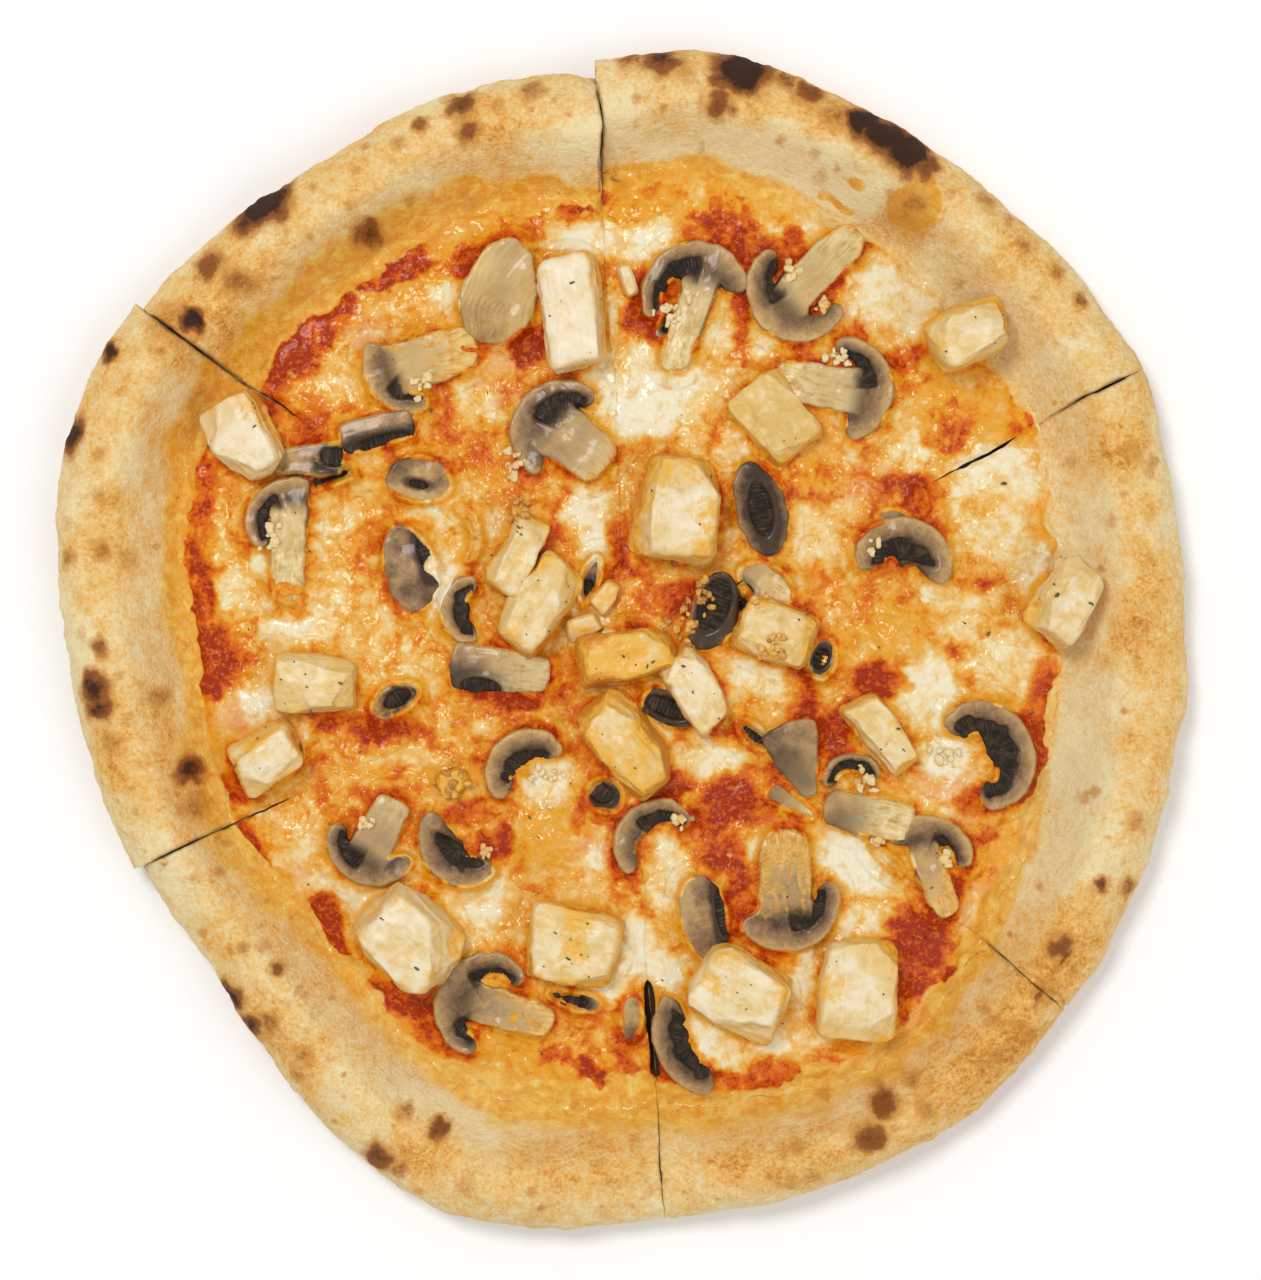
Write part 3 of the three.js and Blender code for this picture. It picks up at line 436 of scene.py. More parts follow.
# x, y, radius of crumbly curds
CURDY = ((87, -31, 6), (-20, -38, 8), (-88, -60, 9), (-46, -38, 7), (-75, 80, 8), (100, -12, 9))


def cheese_share(x, y):
    """How much cheese lies over the sauce, from 0 to about 1."""
    wx = x + 3.4 * fbm(x / 8, y / 8, octaves=4, gain=0.6, seed=31)
    wy = y + 3.4 * fbm(x / 8, y / 8, octaves=4, gain=0.6, seed=32)
    white, red = blotched(wx, wy, WHITE), blotched(wx, wy, RED)
    broad = fbm(wx / 10, wy / 10, octaves=2, seed=33)
    curds = fbm(wx / 3.2, wy / 3.2, octaves=3, gain=0.6, seed=34)
    calm = 1 - 0.42 * np.clip(white, 0, 1)
    return 0.51 + 0.38 * white - 0.42 * red + (0.3 * broad + 0.34 * curds) * calm


def cheese_swell(x, y):
    return 0.45 * np.sin(x / 12 + 1.1) * np.cos(y / 10 + 0.3) + 0.3 * np.sin((x + 1.7 * y) / 16)


def cheese_top(x, y, inward, share):
    """The cheese's height at a distance in from the rim's foot, with its relief."""
    full = smooth(inward / 12)
    thick = CHEESE_EDGE + (CHEESE_THICKNESS + cheese_swell(x, y) - CHEESE_EDGE) * full
    for lx, ly, radius, high in LUMPS:
        thick = thick + high * smooth(1 - np.hypot(x - lx, y - ly) / radius) * full
    curds = 0.5 * fbm(x / 2.6, y / 2.6, octaves=3, gain=0.6, seed=41)
    curds = curds + 0.5 * fbm(x / 7, y / 7, octaves=2, seed=42)
    curds = curds + 0.5 * (0.3 - np.abs(fbm(x / 3.4, y / 3.4, octaves=2, seed=44)))
    for cx, cy, radius in CURDY:
        near = smooth(1.4 - np.hypot(x - cx, y - cy) / radius)
        curds = curds + 0.55 * np.abs(noise(x / 1.5, y / 1.5, seed=43)) * near
    relief = 0.9 * (np.clip(share, 0, 1) - 0.5) + curds * (0.45 + 0.55 * (1 - ramp(share, 0.6, 1.0)))
    return DOUGH_THICKNESS + CLEARANCE + thick + relief * (0.3 + 0.7 * full)


def cheese_height(x, y):
    """The cheese's height at one point of the pizza."""
    x, y = np.array([float(x)]), np.array([float(y)])
    _, inward, width = place_in(SLICES[slice_at(x, y)[0]], x, y)
    return float(cheese_top(x, y, np.maximum(inward - width, 0), cheese_share(x, y))[0])


# ---- Meshes ----


def added(name, data):
    """A new object in the scene."""
    made = bpy.data.objects.new(name, data)
    bpy.context.scene.collection.objects.link(made)
    return made


def mesh(name, points, faces, sizes, attributes, materials, material_index=None, smooth_faces=None):
    """An object from points in millimetres, the corners of all faces and how many corners each face has.

    Faces after the first smooth_faces ones are shaded flat, so that walls don't tint the edges above them."""
    made = bpy.data.meshes.new(name)
    made.vertices.add(len(points))
    made.vertices.foreach_set("co", (np.asarray(points, np.float32) * MM).ravel())
    made.loops.add(len(faces))
    made.loops.foreach_set("vertex_index", np.asarray(faces, np.int32))
    made.polygons.add(len(sizes))
    starts = np.concatenate([[0], np.cumsum(sizes)[:-1]]).astype(np.int32)
    made.polygons.foreach_set("loop_start", starts)
    made.polygons.foreach_set("loop_total", np.asarray(sizes, np.int32))
    if material_index is not None:
        made.polygons.foreach_set("material_index", np.asarray(material_index, np.int32))
    made.update(calc_edges=True)
    made.validate()
    made.polygons.foreach_set("use_smooth", np.arange(len(made.polygons)) < (smooth_faces or len(sizes)))
    for key, values in dict(attributes).items():
        kind, field = ("FLOAT_VECTOR", "vector") if np.ndim(values) == 2 else ("FLOAT", "value")
        layer = made.attributes.new(key, kind, "POINT")
        layer.data.foreach_set(field, np.asarray(values, np.float32).ravel())
    for material in materials:
        made.materials.append(material)
    return added(name, made)


PIECES = []


def stands_for(piece, slot, *nodes):
    PIECES.append(piece)
    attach(piece, "root")
    if nodes:
        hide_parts(*nodes)


def joined(shapes):
    """Several shapes, each points, faces, sizes and attributes, as one."""
    offsets = np.cumsum([0] + [len(shape[0]) for shape in shapes[:-1]])
    points = np.vstack([shape[0] for shape in shapes])
    faces = np.concatenate([np.asarray(shape[1]) + offset for shape, offset in zip(shapes, offsets)])
    sizes = sum((list(shape[2]) for shape in shapes), [])
    attributes = {key: np.concatenate([shape[3][key] for shape in shapes]) for key in shapes[0][3]}
    return points, faces, sizes, attributes


def squares(number):
    """The four corners of each square in a grid of point numbers, in turn."""
    corners = (number[:-1, :-1], number[1:, :-1], number[1:, 1:], number[:-1, 1:])
    return np.stack(corners, -1).reshape(-1, 4)


def snapped_grid(x0, y0, x1, y1, step, distance):
    """Points of a square grid inside an outline, the outermost moved onto it, and the faces between them.

    distance(x, y) is positive inside, about in millimetres."""
    x, y = np.meshgrid(np.arange(x0, x1 + step, step), np.arange(y0, y1 + step, step), indexing="ij")
    d = distance(x, y)
    edge = np.abs(d) < 0.5 * step
    ex, ey = x[edge], y[edge]
    tiny = 0.05 * step
    for _ in range(2):
        here = distance(ex, ey)
        gx = (distance(ex + tiny, ey) - here) / tiny
        gy = (distance(ex, ey + tiny) - here) / tiny
        steep = np.maximum(gx * gx + gy * gy, 0.05)
        move = np.clip(here / steep, -step, step)
        ex, ey = ex - move * gx, ey - move * gy
    x[edge], y[edge] = ex, ey
    inside = (d > 0) | edge
    number = np.full(x.shape, -1)
    number[inside] = np.arange(inside.sum())
    corners = squares(number)
    whole = (corners >= 0).all(1)
    quads = corners[whole]
    most = corners[(corners >= 0).sum(1) == 3]
    triangles = most[most >= 0].reshape(-1, 3)
    return x[inside], y[inside], quads, triangles


def closed_from_top(points, quads, triangles, bottom):
    """Adds walls down to bottom and a flat underside to an open top, and returns points, faces and sizes."""
    count = len(points)
    starts, ends = [], []
    for faces in (quads, triangles):
        for k in range(faces.shape[1]):
            starts.append(faces[:, k])
            ends.append(faces[:, (k + 1) % faces.shape[1]])
    starts, ends = np.concatenate(starts), np.concatenate(ends)
    lone = ~np.isin(starts * count + ends, ends * count + starts)
    starts, ends = starts[lone], ends[lone]
    rim = np.unique(starts)
    low = {int(v): count + k for k, v in enumerate(rim)}
    under = points[rim].copy()
    under[:, 2] = bottom
    walls = [(int(b), int(a), low[int(a)], low[int(b)]) for a, b in zip(starts, ends)]
    following = {int(a): int(b) for a, b in zip(starts, ends)}
    floors = []
    while following:
        first = next(iter(following))
        loop, here = [], first
        while here in following:
            loop.append(low[here])
            here = following.pop(here)
        if here == first and len(loop) > 2:
            floors.append(loop[::-1])
    flat = [quads.ravel(), triangles.ravel(), np.array(walls).ravel()] + [np.array(f) for f in floors]
    sizes = [4] * len(quads) + [3] * len(triangles) + [4] * len(walls) + [len(f) for f in floors]
    return np.vstack([points, under]), np.concatenate(flat), sizes, rim


def cube_grid(steps):
    """Points on the six sides of a cube from -1 to 1, shared at its edges, and its square faces."""
    t = np.linspace(-1, 1, steps + 1)
    a, b = np.meshgrid(t, t, indexing="ij")
    points, quads = [], []
    square = squares(np.arange((steps + 1) ** 2).reshape(steps + 1, steps + 1))
    for axis in range(3):
        for side in (-1, 1):
            p = np.empty(a.shape + (3,))
            p[..., axis], p[..., (axis + 1) % 3], p[..., (axis + 2) % 3] = side, a, b
            quads.append((square if side > 0 else square[:, ::-1]) + len(points) * (steps + 1) ** 2)
            points.append(p.reshape(-1, 3))
    points, quads = np.vstack(points), np.vstack(quads)
    rounded_off = np.round(points * 1e5).astype(int)
    _, first, number = np.unique(rounded_off, axis=0, return_index=True, return_inverse=True)
    return points[first], number.ravel()[quads]


# ---- Materials ----


class Finish:
    """A node-based material. Its calls add nodes and return sockets."""

    def __init__(self, name, **settings):
        self.material = bpy.data.materials.new(name)
        self.material.use_nodes = True
        self.nodes, self.links = self.material.node_tree.nodes, self.material.node_tree.links
        self.shader = self.nodes["Principled BSDF"]
        for key, value in settings.items():
            self.shader.inputs[key.replace("_", " ")].default_value = value
        self.place = self.nodes.new("ShaderNodeTexCoord").outputs["Object"]

    def put(self, socket, value):
        if isinstance(value, bpy.types.NodeSocket):
            self.links.new(value, socket)
        else:
            socket.default_value = value

    def node(self, kind, **inputs):
        """A new node and its inputs' values or links. An underscore in an input's name stands for a space."""
        made = self.nodes.new("ShaderNode" + kind)
        for key, value in inputs.items():
            self.put(made.inputs[key.replace("_", " ")], value)
        return made

    def attribute(self, name, output="Fac"):
        node = self.node("Attribute")
        node.attribute_name = name
        return node.outputs[output]

    def height(self):
        """How high the point is, in metres."""
        return self.node("SeparateXYZ", Vector=self.place).outputs["Z"]

    def noise(self, size, detail=4, rough=0.55, place=None, warp=0.0):
        """Noise from 0 to 1 whose patches are about size millimetres."""
        node = self.node("TexNoise", Vector=place or self.place, Scale=1 / (size * MM), Detail=detail,
                         Roughness=rough, Distortion=warp)
        return node.outputs["Fac"]

    def cells(self, size):
        return self.node("TexVoronoi", Vector=self.place, Scale=1 / (size * MM)).outputs["Distance"]

    def math(self, kind, a, b=0.0, c=0.0):
        node = self.node("Math")
        node.operation = kind
        for socket, value in zip(node.inputs, (a, b, c)):
            self.put(socket, value)
        return node.outputs[0]

    def sum(self, first, *others):
        for other in others:
            first = self.math("ADD", first, other)
        return first

    def times(self, a, b):
        return self.math("MULTIPLY", a, b)

    def line(self, value, slope, start):
        """value times slope, plus start."""
        return self.math("MULTIPLY_ADD", value, slope, start)

    def around(self, value, amount):
        """A value from 0 to 1 made to swing by amount either side of 0."""
        return self.line(value, 2 * amount, -amount)

    def step(self, value, low, high):
        """0 below low, 1 above high, smooth between."""
        node = self.node("MapRange", Value=value, From_Min=low, From_Max=high)
        node.interpolation_type = "SMOOTHSTEP"
        return node.outputs["Result"]

    def ramp(self, value, *stops):
        """A colour for each value, from pairs of position and linear colour."""
        node = self.node("ValToRGB", Fac=value)
        elements = node.color_ramp.elements
        while len(elements) < len(stops):
            elements.new(0.5)
        for element, (position, colour) in zip(elements, stops):
            element.position = position
            element.color = (*colour, 1)
        return node.outputs["Color"]

    def mix(self, share, a, b):
        """From colour a where share is 0 to colour b where it is 1."""
        node = self.nodes.new("ShaderNodeMix")
        node.data_type = "RGBA"
        self.put(node.inputs["Factor"], share)
        for socket, value in zip([s for s in node.inputs if s.type == "RGBA"], (a, b)):
            self.put(socket, value if isinstance(value, bpy.types.NodeSocket) else (*value, 1))
        return [s for s in node.outputs if s.type == "RGBA"][0]

    def paint(self, colour, value, low, high, strength, over):
        """The colour with another over it: none where value is below low, strength where it is above high."""
        return self.mix(self.times(self.step(value, low, high), strength), colour, over)

    def done(self, colour, roughness, height=None, depth=0.3):
        """Links the colour, the roughness and a bump whose full height is depth millimetres."""
        self.put(self.shader.inputs["Base Color"], colour)
        self.put(self.shader.inputs["Roughness"], roughness)
        if height is not None:
            bump = self.node("Bump", Strength=1.0, Distance=depth * MM, Height=height)
            self.links.new(bump.outputs["Normal"], self.shader.inputs["Normal"])
        return self.material


def dough_colour(f):
    """The colour of baked dough and how oily it is. The crust and the thin edge of the cheese share it."""
    grains = f.noise(1.0, detail=4, rough=0.78)
    toast = f.sum(
        f.attribute("toast"),
        f.around(f.noise(11, detail=4, rough=0.6), 0.36),
        f.around(f.noise(3.4, detail=5, rough=0.68, warp=0.3), 0.56),
        f.around(grains, 0.8),
    )
    colour = f.ramp(
        toast,
        (0.0, (0.84, 0.69, 0.385)), (0.2, (0.82, 0.605, 0.285)), (0.4, (0.81, 0.52, 0.185)),
        (0.6, (0.785, 0.43, 0.11)), (0.78, (0.70, 0.315, 0.052)), (1.0, (0.50, 0.17, 0.024)),
    )
    oil = f.sum(f.attribute("oil"), f.around(f.noise(4.5, detail=5, rough=0.62, warp=0.8), 0.3))
    amber = f.ramp(
        f.sum(f.noise(3.5, detail=5, rough=0.62, warp=0.5), f.around(oil, 0.1)),
        (0.33, (0.84, 0.61, 0.19)), (0.48, (0.81, 0.46, 0.055)), (0.66, (0.75, 0.30, 0.010)),
    )
    oily = f.step(oil, 0.1, 0.75)
    return f.mix(f.times(oily, 0.9), colour, amber), oily, grains


def crust_finish():
    f = Finish("baked_crust", Specular_IOR_Level=0.16)
    colour, oily, grains = dough_colour(f)
    grainy, floured = f.noise(1.4, detail=5, rough=0.7), f.noise(13, detail=3)
    flour = f.times(f.step(grainy, 0.52, 0.7), f.step(floured, 0.42, 0.62))
    colour = f.mix(f.times(flour, 0.4), colour, (0.88, 0.79, 0.56))
    strands = f.noise(0.8, detail=5, rough=0.66, place=f.attribute("strand", "Vector"))
    stretched = f.times(f.attribute("slope"), f.step(f.noise(16, detail=2), 0.4, 0.62))
    colour = f.mix(f.times(f.times(f.step(strands, 0.5, 0.66), stretched), 0.34), colour, (0.87, 0.75, 0.48))
    colour = f.mix(f.times(f.times(f.step(strands, 0.46, 0.34), stretched), 0.25), colour, (0.66, 0.40, 0.12))
    under = f.step(f.height(), 2.2 * MM, 0.3 * MM)
    leopard = f.times(f.times(f.step(f.noise(8, detail=3, rough=0.6), 0.5, 0.72), under), 0.95)
    ragged = f.around(f.noise(1.9, detail=5, rough=0.7), 0.3)
    # Scorched spots, and painted shade in the dough's cracks, darken the colour.
    scorch_and_crack_shade = f.sum(f.attribute("char_and_crack_shade"), leopard, ragged, f.around(grains, 0.16))
    colour = f.paint(colour, scorch_and_crack_shade, 0.05, 0.42, 0.72, (0.60, 0.26, 0.045))
    colour = f.paint(colour, scorch_and_crack_shade, 0.36, 0.74, 0.88, (0.23, 0.062, 0.013))
    colour = f.paint(colour, scorch_and_crack_shade, 0.74, 1.12, 0.95, (0.034, 0.015, 0.008))
    colour = f.mix(f.attribute("shade"), colour, (0.06, 0.024, 0.008))
    rough = f.line(oily, -0.4, 0.78)
    pores = f.math("POWER", f.cells(1.3), 0.6)
    fine = f.noise(0.75, detail=5, rough=0.68)
    height = f.sum(
        f.times(fine, 0.7),
        f.times(pores, 0.2),
        f.times(f.noise(2.4, detail=3), 0.5),
        f.times(f.times(strands, stretched), 0.6),
    )
    return f.done(colour, rough, height, 0.5)


def crumb_finish():
    f = Finish("crumb", Specular_IOR_Level=0.2)
    pores_and_pore_shade = f.cells(3.0)
    # The pores are sunk by the bump and painted dark brown towards their middles, as painted shade in them.
    colour = f.ramp(
        f.sum(pores_and_pore_shade, f.around(f.noise(1.5), 0.2)),
        (0.1, (0.20, 0.09, 0.03)), (0.4, (0.50, 0.30, 0.11)), (0.8, (0.72, 0.52, 0.27)),
    )
    return f.done(colour, 0.85, pores_and_pore_shade, 1.2)


def cheese_finish():
    f = Finish("melted_cheese", Subsurface_Weight=0.08, Subsurface_Scale=0.002,
               Subsurface_Radius=(1.0, 0.55, 0.25), Specular_IOR_Level=0.14, Coat_Roughness=0.08)
    curds = f.noise(1.7, detail=5, rough=0.68, warp=1.1)
    lively = f.step(f.attribute("cheese"), 1.0, 0.55)
    swing = f.line(lively, 0.2, 0.14)
    share = f.sum(
        f.attribute("cheese"),
        f.around(f.noise(4.6, detail=3, rough=0.55, warp=0.9), 0.26),
        f.times(f.line(curds, 2, -1), swing),
        f.around(f.noise(0.5, detail=3, rough=0.6), 0.08),
    )
    colour = f.ramp(
        share,
        (0.0, (0.36, 0.026, 0.001)), (0.09, (0.53, 0.060, 0.001)), (0.2, (0.65, 0.115, 0.002)),
        (0.32, (0.71, 0.19, 0.004)), (0.43, (0.77, 0.285, 0.009)), (0.55, (0.80, 0.39, 0.045)),
        (0.67, (0.835, 0.51, 0.15)), (0.79, (0.855, 0.635, 0.29)), (0.90, (0.865, 0.74, 0.45)),
        (1.0, (0.875, 0.80, 0.58)),
    )
    middling = f.times(f.step(share, 0.26, 0.46), f.step(share, 0.95, 0.74))
    blobs = f.noise(6, detail=4, rough=0.6, warp=0.7)
    yellow = f.step(f.sum(f.attribute("yellow"), f.around(blobs, 0.9)), 0.3, 0.8)
    colour = f.mix(f.times(f.times(yellow, middling), 0.75), colour, (0.79, 0.35, 0.012))
    pink = f.step(f.sum(f.attribute("pink"), f.around(f.noise(5, detail=4, warp=0.6), 0.8)), 0.4, 0.9)
    colour = f.mix(f.times(f.times(pink, middling), 0.6), colour, (0.80, 0.42, 0.22))
    baked = f.noise(5.5, detail=4, rough=0.55, warp=0.9)
    browned = f.times(f.step(baked, 0.52, 0.7), f.step(share, 0.5, 0.75))
    colour = f.mix(f.times(browned, 0.65), colour, (0.80, 0.44, 0.045))
    seeds = f.noise(1.5, detail=4, rough=0.62, warp=0.6)
    pulp = f.times(f.step(seeds, 0.5, 0.64), f.step(share, 0.36, 0.16))
    colour = f.mix(f.times(pulp, 0.6), colour, (0.74, 0.19, 0.006))
    dough = dough_colour(f)[0]
    film = f.step(f.sum(f.attribute("film"), f.around(f.noise(2.4, detail=5, rough=0.65), 0.7)), 0.28, 0.72)
    colour = f.mix(film, colour, dough)
    colour = f.mix(f.attribute("shade"), colour, (0.03, 0.012, 0.006))
    f.put(f.shader.inputs["Coat Weight"], f.line(f.step(share, 0.1, 0.5), 0.24, 0.14))
    rough = f.line(film, 0.25, f.line(f.step(share, 0.3, 0.9), 0.12, 0.24))
    height = f.sum(f.times(f.noise(0.9, detail=5, rough=0.62, warp=0.5), 0.6), f.times(curds, 0.7))
    return f.done(colour, rough, height, 0.5)


def mushroom_finish():
    f = Finish("cooked_mushroom", Subsurface_Weight=0.06, Subsurface_Scale=0.0015,
               Specular_IOR_Level=0.15, Coat_Roughness=0.14)
    grain = f.attribute("grain", "Vector")
    fine = f.noise(0.4, detail=4, rough=0.7)
    mottle = f.noise(2.8, detail=5, rough=0.6, warp=0.5)
    fibres = f.noise(0.7, detail=4, rough=0.6, place=grain)
    uneven = (f.around(mottle, 0.34), f.around(fine, 0.1), f.around(fibres, 0.16))
    depth = f.sum(f.attribute("depth"), *uneven)
    tan = f.ramp(
        depth,
        (0.0, (0.62, 0.40, 0.145)), (0.2, (0.46, 0.27, 0.095)), (0.42, (0.26, 0.14, 0.054)),
        (0.66, (0.085, 0.048, 0.022)),
    )
    grey = f.ramp(
        depth,
        (0.0, (0.43, 0.27, 0.12)), (0.2, (0.27, 0.155, 0.072)), (0.42, (0.135, 0.075, 0.037)),
        (0.66, (0.042, 0.023, 0.012)),
    )
    colour = f.mix(f.attribute("tone"), tan, grey)
    stem = f.ramp(
        f.sum(f.times(fibres, 0.45), f.times(mottle, 0.55)),
        (0.38, (0.47, 0.29, 0.09)), (0.48, (0.66, 0.47, 0.185)), (0.60, (0.79, 0.64, 0.35)),
    )
    colour = f.mix(f.attribute("stem"), colour, stem)
    skin = f.sum(f.attribute("skin"), f.around(mottle, 0.5))
    colour = f.paint(colour, skin, 0.35, 0.85, 0.6, (0.31, 0.15, 0.045))
    stain = f.sum(f.attribute("stain"), f.around(f.noise(3.4, detail=5, rough=0.62, warp=0.5), 0.6))
    juices = f.ramp(
        f.sum(f.times(fibres, 0.5), f.times(mottle, 0.5)),
        (0.40, (0.52, 0.20, 0.012)), (0.50, (0.72, 0.36, 0.045)), (0.60, (0.80, 0.53, 0.16)),
    )
    colour = f.paint(colour, stain, 0.4, 0.85, 0.72, juices)
    gill = f.step(f.sum(f.attribute("gill"), f.around(mottle, 0.5), f.around(fibres, 0.3)), 0.24, 0.78)
    black = f.ramp(
        f.sum(f.times(fibres, 0.55), f.times(mottle, 0.45)),
        (0.38, (0.008, 0.005, 0.003)), (0.5, (0.024, 0.014, 0.008)), (0.66, (0.10, 0.06, 0.030)),
    )
    colour = f.mix(gill, colour, black)
    f.put(f.shader.inputs["Coat Weight"], f.line(gill, -0.2, 0.26))
    rough = f.sum(f.line(mottle, 0.2, 0.27), f.times(gill, 0.2))
    height = f.sum(f.times(fibres, 0.25), f.times(fine, 0.35), f.times(f.noise(1.5, detail=3), 0.4))
    return f.done(colour, rough, height, 0.3)


def chicken_finish():
    f = Finish("cooked_chicken", Subsurface_Weight=0.1, Subsurface_Scale=0.002,
               Subsurface_Radius=(1.0, 0.7, 0.45), Specular_IOR_Level=0.28, Coat_Weight=0.1,
               Coat_Roughness=0.15)
    fibres = f.noise(0.9, detail=5, rough=0.6, place=f.attribute("grain", "Vector"))
    mottle = f.noise(4, detail=5, rough=0.6, warp=0.4)
    pale = f.sum(f.attribute("pale"), f.around(fibres, 0.3), f.around(mottle, 1.1))
    colour = f.ramp(
        pale,
        (0.0, (0.66, 0.42, 0.12)), (0.33, (0.73, 0.51, 0.20)), (0.62, (0.78, 0.61, 0.33)),
        (0.95, (0.82, 0.705, 0.49)),
    )
    # Painted shade: a chunk's sides are made darker and yellower than its top.
    colour = f.mix(f.times(f.attribute("side"), 0.55), colour, (0.74, 0.47, 0.13))
    orange = f.noise(3.0, detail=5, rough=0.64, warp=0.9)
    stain = f.sum(f.attribute("stain"), f.around(orange, 0.8), f.around(fibres, 0.2))
    colour = f.paint(colour, stain, 0.36, 0.78, 0.85, (0.80, 0.42, 0.035))
    colour = f.paint(colour, stain, 0.8, 1.2, 0.8, (0.62, 0.19, 0.01))
    height = f.sum(f.times(fibres, 0.6), f.times(f.noise(0.8, detail=4), 0.4))
    return f.done(colour, f.line(mottle, 0.2, 0.34), height, 0.35)


def crumbs_finish():
    f = Finish("toasted_bits", Subsurface_Weight=0.05, Subsurface_Scale=0.001)
    mottle = f.noise(1.3, detail=4, rough=0.6)
    colour = f.ramp(
        f.sum(f.attribute("tone"), f.around(mottle, 0.4)),
        (0.0, (0.84, 0.70, 0.43)), (0.35, (0.80, 0.58, 0.26)), (0.7, (0.76, 0.40, 0.07)),
        (1.0, (0.42, 0.17, 0.03)),
    )
    return f.done(colour, f.line(mottle, 0.3, 0.3), f.noise(0.5), 0.25)


def speck_finish(name, dark, light):
    f = Finish(name)
    return f.done(f.ramp(f.noise(0.6, detail=3), (0.35, dark), (0.65, light)), 0.6, f.noise(0.3), 0.1)


CRUST = crust_finish()
CRUMB = crumb_finish()
CHEESE = cheese_finish()
MUSHROOM = mushroom_finish()
CHICKEN = chicken_finish()
CRUMBS = crumbs_finish()
HERB = speck_finish("dried_herb", (0.035, 0.036, 0.010), (0.16, 0.15, 0.035))
PEPPER = speck_finish("black_pepper", (0.014, 0.009, 0.006), (0.06, 0.038, 0.022))

# ---- The cuts ----


WIDE_CUT = 2.0  # a cut wider than this opens at once
BLUNT, POINTED = 2.2, 7.0  # how far a wide cut and a narrow one take to open
CUT_OVERLAP = 0.04  # by which closed cuts overlap
NO_END = 200  # beyond the rim


def cut_offset(number, r, wide_key):
    """How far a cut's edge stands back from its middle line, and how far the line wanders, at a radius."""
    cut = CUTS[number % 6]
    opens_over = BLUNT if cut["cheese"] > WIDE_CUT else POINTED
    opening = np.sqrt(np.clip((r - cut["open_from"]) / opens_over, 0, 1))
    if wide_key == "cheese":
        end = cut.get("open_to", NO_END)
        opening = opening * ramp(r, end + 0.8, end - 0.8)
    uneven = 0.5 if wide_key == "rim" else 0.16
    ragged = 1 + uneven * noise(r / 3.1, np.full_like(r, 7.0 * number), seed=61)
    gap = (cut[wide_key] / 2) * opening * ragged - CUT_OVERLAP
    wander = 0.9 * noise(r / 14, np.full_like(r, 3.0 * number), seed=62)
    wander = wander + 0.16 * noise(r / 2.3, np.full_like(r, 5.0 * number), seed=63)
    return gap, wander * ramp(r, 12, 40)


def beside_cut(number, x, y):
    """How far points lie anticlockwise of a cut's wandering line, and its gap in the cheese there."""
    dx, dy = x - CENTRE_X, y - CENTRE_Y
    a = math.radians(SLICES[number % 6][1])
    gap, wander = cut_offset(number, np.hypot(dx, dy), "cheese")
    return dy * math.cos(a) - dx * math.sin(a) - wander, gap


def inside_cuts(number, x, y):
    """Distance to the nearer of a slice's two cuts, positive inside the slice."""
    first, gap_first = beside_cut(number, x, y)
    second, gap_second = beside_cut(number + 1, x, y)
    return np.minimum(first - gap_first, -second - gap_second)


# ---- Dough ----

RIM_STEP = 0.5  # between points round the rim
MEAN_RADIUS = 156
UNDER_ROWS, OVER_ROWS, INNER_ROWS, SHELF_ROWS = 20, 42, 54, 10
FOOT_ROWS = 5  # over which the relief sets in above the foot
TIP_INSET = 1.2  # of a slice's tip from where the cuts meet
SPOTS_UNROLL = 9  # below the crown, from where on spots are unrolled down the outside
STRAND_STRETCH, STRAND_RADIUS = 0.1, 140  # for strands of dough that run round the rim's inner slope
SHADE_LEAD = 14  # how far inside the open part of a cut its floor is dark already


